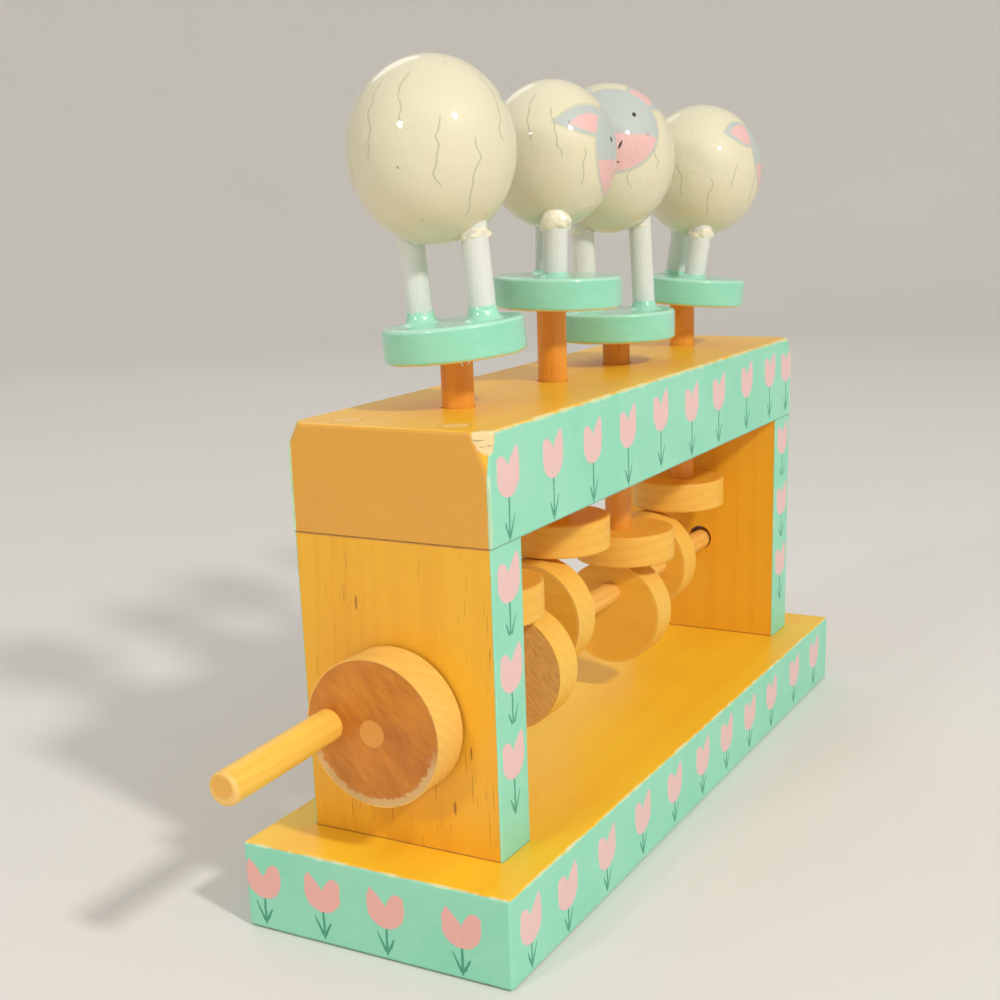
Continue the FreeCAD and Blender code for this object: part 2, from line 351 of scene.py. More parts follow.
@dataclass(frozen=True)
class Gloss:
    """The constants of a surface."""

    coat: float = 0.0
    coat_roughness: float = 0.1
    specular: float = 0.5


SATIN_VARNISH = Gloss(coat=0.12, coat_roughness=0.28, specular=0.4)
GLOSSY_PAINT = Gloss(coat=0.7, coat_roughness=0.05, specular=0.35)
BARE = Gloss(specular=0.35)

MINT = colour(150, 226, 196)
MINT_DEEP = colour(134, 214, 180)
MINT_PALE = colour(182, 236, 210)
PINK = colour(236, 186, 186)
PINK_PALE = colour(242, 202, 198)
PINK_STRONG = colour(244, 170, 160)
STEM_GREEN = colour(56, 152, 122)
END_GRAIN = colour(216, 150, 74)
# Pale edge colour: rubbed paint, and a painted highlight along the edges
WORN_EDGE_AND_HIGHLIGHT = colour(222, 232, 182)
WORN_WOOD = colour(246, 230, 184)
# Dark joint lines, and painted shade where a post stands on the base
SEAM_AND_SHADE = colour(112, 68, 28)
HANDLE_CORE = colour(236, 168, 62)


# ---- Wood ----


@dataclass(frozen=True)
class PineGrain:
    """Varnished pine: faint growth rings round a pith outside the piece, fibres and short dark hairlines.

    Args:
        along: The way that the grain runs.
        light: The pale early wood.
        dark: The darker late wood.
        pith: The pith's place across the grain, in the order of the other two axes.
        ring: The rings' width.
        ring_depth: How strongly the rings show.
        flecks: How many dark hairlines there are, from 0 to 1.
        knots: Small knots, each its place on the second axis across the grain and its place along it.
    """

    along: Axis
    light: tuple = colour(251, 192, 50)
    dark: tuple = colour(236, 164, 38)
    pith: tuple[float, float] = (30.0, -60.0)
    ring: float = 4.2
    ring_depth: float = 0.3
    flecks: float = 0.35
    knots: tuple[tuple[float, float], ...] = ()

    def lay(self, sheet: NodeSheet) -> tuple[Term, Term]:
        """Draws the wood.

        Args:
            sheet: The material's tree.

        Returns:
            The colour, and the relief in millimetres.
        """
        place = sheet.place()
        run = place[self.along.value]
        first, second = (place[axis.value] for axis in Axis if axis is not self.along)
        wander = sheet.noise((run * 0.12, first, second), 0.022) * 16.0
        near = first - self.pith[0] + wander
        far = second - self.pith[1] + wander * 0.6
        distance = sheet.distance(near, far)
        turn = (distance / self.ring).fraction()
        late = turn.above(0.62, 0.62) * turn.below(0.94, 0.12)
        fibre = sheet.noise((run * 0.045, first, second), 1.5, 3.0, 0.62)
        cloud = sheet.noise((run * 0.2, first, second), 0.045)
        share = late * self.ring_depth + (fibre - 0.5) * 0.6 + (cloud - 0.5) * 0.9 + 0.25
        base = sheet.mix(share.clamped(), self.light, self.dark)
        height = fibre * 0.05 + late * 0.02
        if self.flecks:
            hair = sheet.noise((run * 0.03, first, second), 3.2, 0.0)
            crowd = sheet.noise((run * 0.5, first, second), 0.09, 1.0)
            mark = (hair + (crowd - 0.5) * 0.3).above(0.85 - 0.1 * self.flecks, 0.05)
            base = sheet.mix(mark * 0.45, base, colour(150, 90, 30))
            height = height - mark * 0.1
        for side, along in self.knots:
            beside = (second - side + (fibre - 0.5) * 0.8) / 0.42
            ahead = (run - along) / 2.1
            knot = (beside * beside + ahead * ahead).below(1.0, 1.1)
            base = sheet.mix(knot * 0.6, base, colour(120, 66, 24))
            height = height - knot * 0.1
        return base, height


# ---- Tulips ----


# A tulip's measures in millimetres, with heights over the middle of its cup
CUP_HALF_WIDTH = 6.3
CUP_WIDEST = -1.5
CUP_DEPTH = 5.7
ROUND_PETAL_MIDDLE = 4.0
SHARP_PETAL_MIDDLE = 4.8
STEM_TOP = -6.5
STEM_HALF_WIDTH = 0.56
BLADE_HALF_WIDTH = 0.78


@dataclass(frozen=True)
class Tulip:
    """One painted tulip: the middle of its cup, and its pointed petal's height, 0.5 for the row's own."""

    across: float
    up: float
    tall: float = 0.5


@dataclass(frozen=True)
class TulipRow:
    """Tulips on one face, told apart along one axis.

    Args:
        tulips: The tulips in order along the axis.
        low: Where the face starts on the axis that tells them apart.
        high: Where it ends.
        foot: How far the stem's foot lies under the middle of the cup.
        upright: True where the tulips stand above each other.
        notch: The height of the notch between the petals over the middle of the cup.
        round_petal: How far the round petal rises over the notch.
        sharp_petal: How far the pointed petal rises over the notch.
        sharp_side: 1 where the pointed petal lies on the positive side, -1 on the other.
        leaf_top: How far the leaves reach above the stem's foot.

    FIELD is the length that a packed colour's 0 to 1 stands for, and UPRIGHT_BORDER how far over a cup the
    next tulip of an upright row starts.
    """

    tulips: tuple[Tulip, ...]
    low: float
    high: float
    foot: float
    upright: bool = False
    notch: float = 1.4
    round_petal: float = 3.2
    sharp_petal: float = 4.9
    sharp_side: float = 1.0
    leaf_top: float = 6.4

    FIELD = 300.0
    UPRIGHT_BORDER = 9.0

    def centres(self, sheet: NodeSheet, selector: Term) -> Term:
        """The nearest tulip's values, packed in a colour.

        Args:
            sheet: The material's tree.
            selector: The coordinate that tells the tulips apart.

        Returns:
            A colour that holds the place across, the place up and the pointed petal's extra height.
        """
        stops = []
        border = self.low
        span = self.high - self.low
        for number, tulip in enumerate(self.tulips):
            if number:
                before = self.tulips[number - 1]
                halfway = (before.across + tulip.across) / 2
                border = before.up + self.UPRIGHT_BORDER if self.upright else halfway
            values = (tulip.across / self.FIELD + 0.5, tulip.up / self.FIELD, tulip.tall, 1.0)
            stops.append(((border - self.low) / span, values))
        return sheet.steps((selector - self.low) / span, stops)

    def shape(self) -> tuple[float, ...]:
        """The values that give all of the row's tulips their shape."""
        return (self.foot, self.notch, self.round_petal, self.sharp_petal, self.sharp_side, self.leaf_top)


def draw_tulips(
    sheet: NodeSheet, across: Term, up: Term, packed: Term, shape: Sequence[Number]
) -> tuple[Term, Term]:
    """Draws the nearest tulip of a row.

    Args:
        sheet: The material's tree.
        across: The coordinate along the face, in millimetres.
        up: The height, in millimetres.
        packed: The row's packed centres.
        shape: The row's shape.

    Returns:
        The mask of the cup and the mask of the stem and its leaves.
    """
    foot, notch, round_petal, sharp_petal, sharp_side, leaf_top = shape
    red, green, tall = sheet.parts("ShaderNodeSeparateColor", packed)
    wobble = (sheet.noise((across, up, 0.0), 0.4, 1.0) - 0.5) * 0.9
    x = (across - (red - 0.5) * TulipRow.FIELD) * sharp_side + wobble
    y = up - green * TulipRow.FIELD + wobble * 0.6
    low = ((CUP_WIDEST - y) / CUP_DEPTH).clamped()
    side = (1.0 - low * low).root() * CUP_HALF_WIDTH - (y - 2.0).most(0.0) * 0.1
    off = abs(x)
    bulge = (off - ROUND_PETAL_MIDDLE) / ROUND_PETAL_MIDDLE
    rounded = 1.0 - bulge * bulge
    pointed = ((off / SHARP_PETAL_MIDDLE) ** 0.8).least(1.0 - (off - SHARP_PETAL_MIDDLE) * 0.35)
    pointed = pointed + (tall - 0.5) * 0.12 * off.least(1.0)
    on_sharp = x.above(0.0, 0.05)
    top = rounded * round_petal * (1.0 - on_sharp) + pointed * sharp_petal * on_sharp + notch
    cup = (side - off).above(0.1, 0.35) * (top - y).above(0.1, 0.35)
    stem_place = x - wobble * 0.4
    stem = (STEM_HALF_WIDTH - abs(stem_place)).above(0.15, 0.3)
    stem = stem * y.below(STEM_TOP, 0.4) * (y + foot).above(0.0, 0.5)
    rise = y + foot - 0.6
    bow = rise * 0.56 - rise * rise * 0.01
    blade = (BLADE_HALF_WIDTH - rise * 0.07 - abs(abs(stem_place) - bow)).above(0.15, 0.35)
    shorter = leaf_top - x.below(0.0, 0.1) * 1.6
    blade = blade * rise.above(0.2, 0.3) * (shorter - rise).above(0.2, 0.4)
    return cup, stem.most(blade) * (1.0 - cup)


def row_of(places: Iterable[Sequence[float]], half_length: float, foot: float, **form: float) -> TulipRow:
    """A row along a face whose middle is at 0.

    Args:
        places: Each tulip's place across, its height and the height of its pointed petal.
        half_length: Half the face's length.
        foot: How far the stem's foot lies under the middle of the cup.
        form: Other values of the row.

    Returns:
        The row.
    """
    tulips = tuple(Tulip(*place) for place in places)
    return TulipRow(tulips, -half_length, half_length, foot, **form)


BASE_FRONT = row_of(
    zip(
        (-132.5, -109.7, -83.0, -55.7, -29.0, -3.3, 20.5, 45.3, 70.5, 99.0, 125.7),
        (16.3, 15.8, 16.6, 16.9, 16.8, 17.0, 17.2, 16.8, 16.6, 17.1, 16.9),
        (0.9, 0.7, 0.5, 0.8, 0.3, 0.7, 0.6, 0.4, 0.8, 0.5, 0.6),
    ),
    BASE_HALF_LENGTH,
    foot=14.6,
)
BASE_BACK = row_of(
    ((-130.0 + 26.0 * i, 16.6 + 0.4 * math.sin(2.1 * i), 0.35 + 0.3 * (i % 3)) for i in range(11)),
    BASE_HALF_LENGTH,
    foot=14.6,
)
BASE_CRANK_END = row_of(
    ((-29.1, 16.6, 0.4), (-4.5, 17.0, 0.5), (17.0, 17.2, 0.4), (38.0, 17.2, 0.6)),
    BASE_HALF_WIDTH,
    foot=15.4,
    notch=-0.4,
    round_petal=4.4,
    sharp_petal=5.4,
)
BASE_FAR_END = row_of(
    ((-34.0, 16.4, 0.4), (-11.0, 16.0, 0.2), (12.0, 16.6, 0.5), (34.0, 16.1, 0.3)), BASE_HALF_WIDTH, foot=14.4
)
BEAM_FRONT = row_of(
    zip(
        (-114.5, -88.0, -61.8, -36.3, -9.9, 17.4, 43.5, 73.0, 99.5, 119.5),
        (136.4, 136.8, 136.4, 136.8, 138.0, 137.0, 137.2, 137.8, 138.2, 138.0),
        (0.9, 1.0, 0.9, 1.0, 1.0, 0.8, 0.3, 0.6, 0.4, 0.5),
    ),
    FRAME_HALF_LENGTH,
    foot=19.0,
)
BEAM_BACK = row_of(
    ((-112.0 + 25.0 * i, 137.0 + 0.5 * math.sin(1.7 * i), 0.4 + 0.25 * (i % 3)) for i in range(10)),
    FRAME_HALF_LENGTH,
    foot=19.0,
)
CRANK_POST_TULIPS, FAR_POST_TULIPS = (
    TulipRow(tuple(Tulip(*place) for place in places), BASE_TOP, BEAM_BOTTOM, foot=18.0, upright=True)
    for places in (
        ((-116.6, 56.6, 0.6), (-116.2, 82.0, 0.9), (-116.0, 107.6, 1.0)),
        ((116.4, 58.5, 0.6), (116.8, 84.0, 0.7), (116.5, 109.0, 0.4)),
    )
)


# Knots in the crank post's wood, each its place across and its height
CRANK_POST_KNOTS = ((12.3, 98.0), (-17.2, 41.1), (-23.2, 58.4))


# ---- Painted boards ----


class PaintedBoard:
    """A pine board whose outer sides are painted mint, with tulips."""

    BARE_WOOD = colour(234, 218, 172)
    CRACK = colour(172, 132, 78)

    def __init__(
        self, node_name: str, grain: PineGrain, half: Sequence[float], centre: Sequence[float]
    ) -> None:
        """Starts the board's tree and measures how deep a point lies under each pair of faces.

        Args:
            node_name: The CAD node.
            grain: Its wood.
            half: Half its length, width and height in millimetres.
            centre: The middle of its box in millimetres.
        """
        self.node_name = node_name
        self.grain = grain
        self.sheet = NodeSheet(node_name)
        self.depths = [
            size - abs(where - middle) for where, size, middle in zip(self.sheet.place(), half, centre)
        ]

    def edge_wear_and_highlight(self, first: Axis, second: Axis, width: float, scale: float) -> Term:
        """A worn line along the edges where two pairs of faces meet.

        Args:
            first: The axis of one pair of faces.
            second: The axis of the other.
            width: How far the wear reaches.
            scale: How fast it changes along the edge.

        Returns:
            The mask.
        """
        x, y, z = self.sheet.place()
        ragged = self.sheet.noise((x, y, z), scale)
        reach = self.depths[first.value] + self.depths[second.value]
        return (ragged * (2.0 * width) - reach).above(0.1, width * 0.6)

    def paint(
        self,
        sides: Term,
        rows: Iterable[tuple[Optional[Term], Term, TulipRow]],
        wear_and_highlight: Term,
        seams_and_shade: Optional[Term],
        bare: Optional[Term] = None,
        blush: Optional[Term] = None,
    ) -> bpy.types.Material:
        """Lays the wood, then the mint paint, the tulips, the wear and the joint lines.

        Args:
            sides: The mask of the painted faces.
            rows: For each face, its mask (None for the first), the coordinate along it and its tulips.
            wear: The mask where the paint and the varnish are rubbed off.
            seams: The mask of the dark joint lines, or None.
            bare: The mask where a worn corner shows pale bare wood, or None.
            blush: The mask where the petals are a stronger pink, or None.

        Returns:
            The material.
        """
        sheet = self.sheet
        x, y, z = sheet.place()
        wood, relief = self.grain.lay(sheet)
        brush = sheet.noise((x * 0.35, y * 0.35, z * 1.4), 0.8, 3.0, 0.6)
        patch = sheet.noise((x, y, z), 0.05)
        mint = sheet.mix(brush, MINT_DEEP, MINT)
        mint = sheet.mix((patch - 0.3) * 0.7, mint, MINT_PALE)
        packed, along, shape = None, None, ()
        for mask, coordinate, row in rows:
            selector = z if row.upright else coordinate
            centres = row.centres(sheet, selector)
            if packed is None:
                packed, along, shape = centres, coordinate, row.shape()
            else:
                packed = sheet.mix(mask, packed, centres)
                along = coordinate if along is coordinate else along + (coordinate - along) * mask
                shape = tuple(
                    old if old is new or old == new else mask * (new - old) + old
                    for old, new in zip(shape, row.shape())
                )
        cup, stem = draw_tulips(sheet, along, z, packed, shape)
        petal = sheet.mix(brush, PINK, PINK_PALE)
        if blush is not None:
            petal = sheet.mix(blush * 0.75, petal, PINK_STRONG)
        mint = sheet.mix(cup * 0.96, mint, petal)
        mint = sheet.mix(stem * (0.72 + brush * 0.4), mint, STEM_GREEN)
        chip = sheet.noise((x, y, z), 0.9, 1.0).above(0.795, 0.02)
        end = self.depths[self.grain.along.value].below(0.5, 0.3)
        # The pale edge colour is rubbed paint with a painted highlight along the edges
        coats = ((end * 0.6, END_GRAIN), (sides, mint), (chip * sides, WORN_WOOD), (wear_and_highlight * 0.8, WORN_EDGE_AND_HIGHLIGHT))
        base = sheet.coats(wood, *coats)
        # Dark joint lines, partly painted shade
        if seams_and_shade is not None:
            base = sheet.mix(seams_and_shade * (0.62 - sides * 0.34), base, SEAM_AND_SHADE)
        height = relief * (1.0 - sides * 0.8) + sides * (0.08 + brush * 0.05)
        height = height + cup * sides * 0.05 - wear_and_highlight * 0.06 - chip * 0.05
        if seams_and_shade is not None:
            height = height - seams_and_shade * 0.25
        roughness = 0.36 + sides * 0.12 + wear_and_highlight * 0.2 + (brush - 0.5) * 0.12
        if bare is not None:
            crack = sheet.noise((x * 0.3, y * 0.3, z * 1.9), 0.9, 1.0).above(0.66, 0.08) * bare
            base = sheet.coats(base, (bare * 0.8, self.BARE_WOOD), (crack * 0.5, self.CRACK))
            height = height - crack * 0.15
            roughness = roughness + bare * 0.25
        return sheet.finish(base, roughness, height, SATIN_VARNISH)


class BaseBoard(PaintedBoard):
    """The base board: mint round its four sides, varnish on top."""

    def __init__(self) -> None:
        """Sets the board's wood and box."""
        grain = PineGrain(
            Axis.X,
            light=colour(253, 206, 50),
            dark=colour(245, 184, 36),
            pith=(18.0, -95.0),
            ring=5.2,
            ring_depth=0.22,
            flecks=0.0,
        )
        half = (BASE_HALF_LENGTH, BASE_HALF_WIDTH, BASE_TOP / 2)
        super().__init__("base_board", grain, half, (0.0, 0.0, BASE_TOP / 2))

    def dress(self) -> bpy.types.Material:
        """Makes the board's finish."""
        sheet = self.sheet
        x, y, z = sheet.place()
        border = (sheet.noise((x, y, 0.0), 0.16) - 0.5) * 0.9
        side = self.depths[0].least(self.depths[1]).below(0.55, 0.3)
        side = side * (z + border).below(BASE_TOP - 0.35, 0.25)
        side = side.most(self.depths[0].least(self.depths[1]).below(1.3, 0.2) * z.below(1.1, 0.2))
        on_end = self.depths[0].below(self.depths[1], 0.02)
        behind = y.above(0.0, 0.1)
        far = x.above(0.0, 0.1)
        rows = (
            (None, x, BASE_FRONT),
            (behind * (1.0 - on_end), x, BASE_BACK),
            (on_end * (1.0 - far), y, BASE_CRANK_END),
            (on_end * far, y, BASE_FAR_END),
        )
        # Pale lines along the top edges and corners: rubbed paint and a painted highlight
        top_edge = self.edge_wear_and_highlight(Axis.X, Axis.Z, 0.66, 0.2).most(self.edge_wear_and_highlight(Axis.Y, Axis.Z, 0.66, 0.2))
        corner = self.edge_wear_and_highlight(Axis.X, Axis.Y, 0.5, 0.2)
        wear_and_highlight = (top_edge * z.above(20.0, 1.0)).most(corner * 0.7)
        return self.paint(side, rows, wear_and_highlight, None, blush=on_end * (1.0 - far))


class Post(PaintedBoard):
    """An upright: mint at the front and back, with three tulips each, varnish elsewhere."""

    def __init__(self, node_name: str, side: int, row: TulipRow, grain: PineGrain) -> None:
        """Keeps which post it is.

        Args:
            node_name: The CAD node.
            side: -1 for the post at the crank, 1 for the far one.
            row: Its tulips.
            grain: Its wood.
        """
        middle = side * (FRAME_HALF_LENGTH - POST_THICKNESS / 2)
        half = (POST_THICKNESS / 2, FRAME_HALF_WIDTH, (BEAM_BOTTOM - BASE_TOP) / 2)
        super().__init__(node_name, grain, half, (middle, 0.0, (BEAM_BOTTOM + BASE_TOP) / 2))
        self.row = row

    def dress(self) -> bpy.types.Material:
        """Makes the post's finish."""
        sheet = self.sheet
        x, y, z = sheet.place()
        border = (sheet.noise((x * 0.2, y, z), 0.14) - 0.5) * 0.7
        face = (self.depths[1] + border * 0.5).below(0.6, 0.3)
        rows = ((None, x, self.row),)
        # Pale lines along the upright corners: rubbed paint and a painted highlight
        wear_and_highlight = self.edge_wear_and_highlight(Axis.X, Axis.Y, 0.45, 0.2)
        uneven = sheet.noise((x, y, 0.0), 0.25) * 0.3
        # A dark joint line under the beam, and a painted contact shadow where the post stands on the base
        seams_and_shade = (z + uneven).above(BEAM_BOTTOM - 0.02, 0.12).most((z - uneven).below(BASE_TOP + 0.03, 0.12))
        return self.paint(face, rows, wear_and_highlight * 0.8, seams_and_shade)


class TopBeam(PaintedBoard):
    """The beam: mint along the front and back, varnish on top and at its ends, one corner worn bare."""

    def __init__(self) -> None:
        """Sets the beam's wood and box."""
        grain = PineGrain(
            Axis.X,
            light=colour(251, 195, 52),
            dark=colour(239, 171, 42),
            pith=(-46.0, 92.0),
            ring=3.4,
            ring_depth=0.16,
            flecks=0.0,
        )
        half = (FRAME_HALF_LENGTH, FRAME_HALF_WIDTH, (BEAM_TOP - BEAM_BOTTOM) / 2)
        super().__init__("top_beam", grain, half, (0.0, 0.0, (BEAM_TOP + BEAM_BOTTOM) / 2))

    def dress(self) -> bpy.types.Material:
        """Makes the beam's finish."""
        sheet = self.sheet
        x, y, z = sheet.place()
        border = (sheet.noise((x, y * 0.2, z), 0.15) - 0.5) * 0.9
        face = (self.depths[1] + border * 0.4).below(0.75, 0.3) * (z + border).below(BEAM_TOP - 0.55, 0.3)
        rows = ((None, x, BEAM_FRONT), (y.above(0.0, 0.1), x, BEAM_BACK))
        # Pale lines along the top and upright edges: rubbed paint and a painted highlight
        top_edge = self.edge_wear_and_highlight(Axis.Y, Axis.Z, 0.95, 0.2) * z.above(BEAM_TOP - 6.0, 1.0)
        upright = self.edge_wear_and_highlight(Axis.X, Axis.Y, 0.8, 0.2)
        off_x = (x + FRAME_HALF_LENGTH) / 4.0
        off_y = (y + FRAME_HALF_WIDTH) / 4.9
        off_z = (BEAM_TOP - z) / 6.4
        ragged = sheet.noise((x, y, z), 0.3)
        bare = (sheet.distance(off_x, off_y, off_z) + (ragged - 0.5) * 0.35).below(1.0, 0.1)
        # A dark line along the beam's lower outer edges, at its joints with the posts and between them,
        # partly painted shade; a dark ring round each joint dowel's end
        seams_and_shade = z.below(BEAM_BOTTOM + 0.2, 0.12) * self.depths[0].least(self.depths[1]).below(0.4, 0.3)
        from_dowel = sheet.distance(abs(x) - JOINT_DOWEL_X, abs(y) - JOINT_DOWEL_Y)
        ring = (0.24 - abs(from_dowel - JOINT_DOWEL_RADIUS - 0.1)).above(0.08, 0.16)
        seams_and_shade = seams_and_shade.most(ring * z.above(BEAM_TOP - 0.4, 0.2) * 0.6)
        wear_and_highlight = (top_edge * 0.8).most(upright * 0.75)
        return self.paint(face * (1.0 - bare), rows, wear_and_highlight, seams_and_shade, bare)


# ---- Turned and sawn wood ----


class FaceMark(Enum):
    """What the flat faces of a wooden disc show."""

    PLAIN = "plain"
    SAW = "saw"
    SCRATCHED = "scratched"


@dataclass(frozen=True)
class WoodenDisc:
    """A disc cut from pine: a cam, a follower disc or the crank's disc.

    Args:
        node_name: The CAD node.
        axis: The way that the disc faces.
        centre: Its middle across that axis, in the order of the other two axes, in millimetres.
        radius: Its radius in millimetres.
        grain: Its wood.
        mark: What its faces show.
    """

    node_name: str
    axis: Axis
    centre: tuple[float, float]
    radius: float
    grain: PineGrain
    mark: FaceMark = FaceMark.PLAIN

    def dress(self) -> bpy.types.Material:
        """Makes the disc's finish."""
        sheet = NodeSheet(self.node_name)
        place = sheet.place()
        x, y, z = place
        wood, relief = self.grain.lay(sheet)
        first, second = (place[axis.value] for axis in Axis if axis is not self.axis)
        across = first - self.centre[0]
        up = second - self.centre[1]
        out = sheet.distance(across, up)
        ragged = sheet.noise((x, y, z), 0.3, 3.0, 0.65)
        # A pale ring round the faces' outer edge: rubbed wood, and a painted sheen on the eased rim
        rim = (out + (ragged - 0.5) * 1.6).above(self.radius - 0.75, 0.7)
        on_side = out.above(self.radius - 0.35, 0.2)
        base = sheet.mix(rim * 0.4 - on_side * 0.28, wood, colour(250, 214, 130))
        if self.mark is FaceMark.SAW:
            hatch = sheet.noise((across - up, (across + up) * 0.07, 0.0), 2.2, 2.0, 0.6)
            hatch = hatch.above(0.5, 0.16) * (1.0 - on_side)
            # The sawn face is paler wood, and lightened further as painted light because it lies in shade
            base = sheet.mix((1.0 - on_side) * 0.7, base, colour(242, 206, 134))
            base = sheet.mix(hatch * 0.45, base, colour(186, 140, 74))
            relief = relief - hatch * 0.06
        if self.mark is FaceMark.SCRATCHED:
            base, relief = self.scratch(sheet, base, relief, across, up, out, on_side)
        roughness = 0.44 + rim * 0.16 + (ragged - 0.5) * 0.1
        return sheet.finish(base, roughness, relief, SATIN_VARNISH)

    def scratch(
        self, sheet: NodeSheet, base: Term, relief: Term, across: Term, up: Term, out: Term, on_side: Term
    ) -> tuple[Term, Term]:
        """Adds the crank disc's brown face with broad streaks, a few scratches and a worn lower rim.

        Args:
            sheet: The material's tree.
            base: The wood's colour.
            relief: The wood's relief.
            across: Across the face, from the axle.
            up: Up the face, from the axle.
            out: The distance from the axle.
            on_side: The mask of the disc's side.

        Returns:
            The colour and the relief with the marks.
        """
        face = 1.0 - on_side
        streak = sheet.noise(((across + up) * 0.1, (across - up) * 0.34, 0.0), 0.7, 3.0, 0.6)
        glow = sheet.noise((across, up, 3.0), 0.07, 1.0)
        share = (streak - 0.5) * 1.5 + (glow - 0.5) * 1.4 + 0.45
        brown = sheet.mix(share.clamped(), colour(182, 94, 16), colour(222, 140, 36))
        tint = sheet.mix(face * 0.92, base, brown)
        lines = sheet.noise((across * 0.16 + up * 0.9, across * 0.25 - up * 0.06, 0.0), 2.0, 1.0)
        scratch = lines.above(0.755, 0.04) * face
        tint = sheet.mix(scratch * 0.5, tint, colour(232, 184, 112))
        scuff = sheet.noise((across, up, 0.0), 0.55, 3.0, 0.7)
        worn = (out + (scuff - 0.5) * 4.5).above(self.radius - 2.3, 1.0) * up.below(-4.0, 9.0) * face
        tint = sheet.mix(worn * 0.75, tint, colour(228, 190, 128))
        return tint, relief * (1.0 - face * 0.8) - scratch * 0.05 - (streak - 0.5) * 0.05


@dataclass(frozen=True)
class Dowel:
    """A round rod.

    Args:
        node_name: The CAD node.
        grain: Its wood.
        ends: Where its ends lie along its axis, in millimetres.
        end_tone: The colour of its ends.
        core: The middle of an end that is darker inside its rim, and that part's radius, or None.
    """

    node_name: str
    grain: PineGrain
    ends: tuple[float, float]
    end_tone: tuple = colour(246, 200, 116)
    core: Optional[tuple[float, float, float]] = None

    def dress(self) -> bpy.types.Material:
        """Makes the dowel's finish, with ends of their own colour."""
        sheet = NodeSheet(self.node_name)
        place = sheet.place()
        wood, relief = self.grain.lay(sheet)
        run = place[self.grain.along.value]
        near_end = (run - self.ends[0]).least(self.ends[1] - run)
        tip = near_end.below(1.3, 0.9)
        base = sheet.mix(tip * 0.85, wood, self.end_tone)
        if self.core is not None:
            first, second = (place[axis.value] for axis in Axis if axis is not self.grain.along)
            out = sheet.distance(first - self.core[0], second - self.core[1])
            base = sheet.mix(out.below(self.core[2], 0.8) * near_end.below(0.6, 0.4) * 0.7, base, HANDLE_CORE)
        return sheet.finish(base, 0.42 + tip * 0.14, relief, SATIN_VARNISH)


# ---- Sheep ----


@dataclass(frozen=True)
class EarPaint:
    """A painted ear, in angles from the face's middle.

    Args:
        centre: The leaf's middle, sideways and up.
        half_length: Half its length.
        half_width: Half its width.
        lean: How far its tip is turned up, in degrees.
        inside: The middle of its pink inside.
        inside_half: Half the inside's length and width.
    """

    centre: tuple[float, float]
    half_length: float
    half_width: float
    lean: float
    inside: tuple[float, float]
    inside_half: tuple[float, float]


@dataclass(frozen=True)
class FacePaint:
    """Where a sheep's face is painted on its body.

    Args:
        heading: The way that it looks, in degrees from +X towards +Y.
        tilt: How far the line between grey and pink lies above the body's middle, in degrees.
        ear: The ears.
    """

    heading: float
    tilt: float
    ear: EarPaint


@dataclass(frozen=True)
class Station:
    """One sheep with its platform, in the CAD source's named values.

    Args:
        number: Its number from the crank.
        dowel_x: The lift dowel's place along the frame.
        cam_angle: The way that the cam points at rest, in degrees.
        cam_x: The cam's middle along the shaft.
        follower: The follower disc's middle.
        platform: The platform's middle.
        low_clearance: The height of the platform's underside above the beam at the lift's lowest point.
        tilt: How far the platform is tilted towards the side that the sheep leans to, in degrees.
        radius: The body's radius.
        half_height: Half the body's height.
        leg_show: The height of the body's underside above the platform.
        lean: The body's place off the dowel.
        heading: The way that the legs face, in degrees.
        leg_spread: The distance between the legs.
        face: The painted face.
        foot_rise: How far the platform's paint climbs the legs, 1 for about 3 mm.
    """

    number: int
    dowel_x: float
    cam_angle: float
    cam_x: float
    follower: tuple[float, float]
    platform: tuple[float, float]
    low_clearance: float
    tilt: float
    radius: float
    half_height: float
    leg_show: float
    lean: tuple[float, float]
    heading: float
    leg_spread: float
    face: FacePaint
    foot_rise: float = 1.0

    @property
    def lift(self) -> float:
        """How far the cam lifts the sheep at rest, from its middle height."""
        return CAM_THROW * math.sin(math.radians(self.cam_angle))

    @property
    def platform_bottom(self) -> float:
        """The height of the middle of the platform's underside."""
        return BEAM_TOP + self.low_clearance + CAM_THROW + self.lift

    @property
    def platform_normal(self) -> Vector:
        """The way that the platform's top faces."""
        level = Vector((self.lean[0], self.lean[1], 0)).normalized()
        tilt = math.radians(self.tilt)
        return level * math.sin(tilt) + Vector((0, 0, math.cos(tilt)))

    @property
    def platform_base(self) -> Vector:
        """The middle of the platform's underside."""
        return Vector((self.platform[0], self.platform[1], self.platform_bottom))

    @property
    def platform_middle(self) -> Vector:
        """The point of the platform's top that lies over the dowel."""
        return Vector((self.dowel_x, 0, self.platform_bottom)) + self.platform_normal * PLATFORM_THICKNESS

    @property
    def body_centre(self) -> Vector:
        """The middle of the sheep's body."""
        height = self.platform_bottom + PLATFORM_THICKNESS + self.leg_show + self.half_height
        return Vector((self.dowel_x + self.lean[0], self.lean[1], height))

    def leg(self, side: int) -> tuple[Vector, Vector]:
        """A leg's foot on the platform and its direction.

        Args:
            side: 1 for the sheep's left leg, -1 for its right one.

        Returns:
            The foot, in millimetres, and the way that the leg points.
        """
        heading = math.radians(self.heading)
        across = Vector((-math.sin(heading), math.cos(heading), 0))
        across = (across - self.platform_normal * across.dot(self.platform_normal)).normalized()
        foot = self.platform_middle + across * (side * self.leg_spread / 2)
        return foot, (self.body_centre - self.platform_middle).normalized()

    def above_platform(self, sheet: NodeSheet, start: Vector) -> Term:
        """How high a point of a shader lies over a level of the platform, square to it.

        Args:
            sheet: The material's tree.
            start: A point on the level, in millimetres.

        Returns:
            The height in millimetres.
        """
        x, y, z = sheet.place()
        normal = self.platform_normal
        return x * normal.x + y * normal.y + z * normal.z - start.dot(normal)


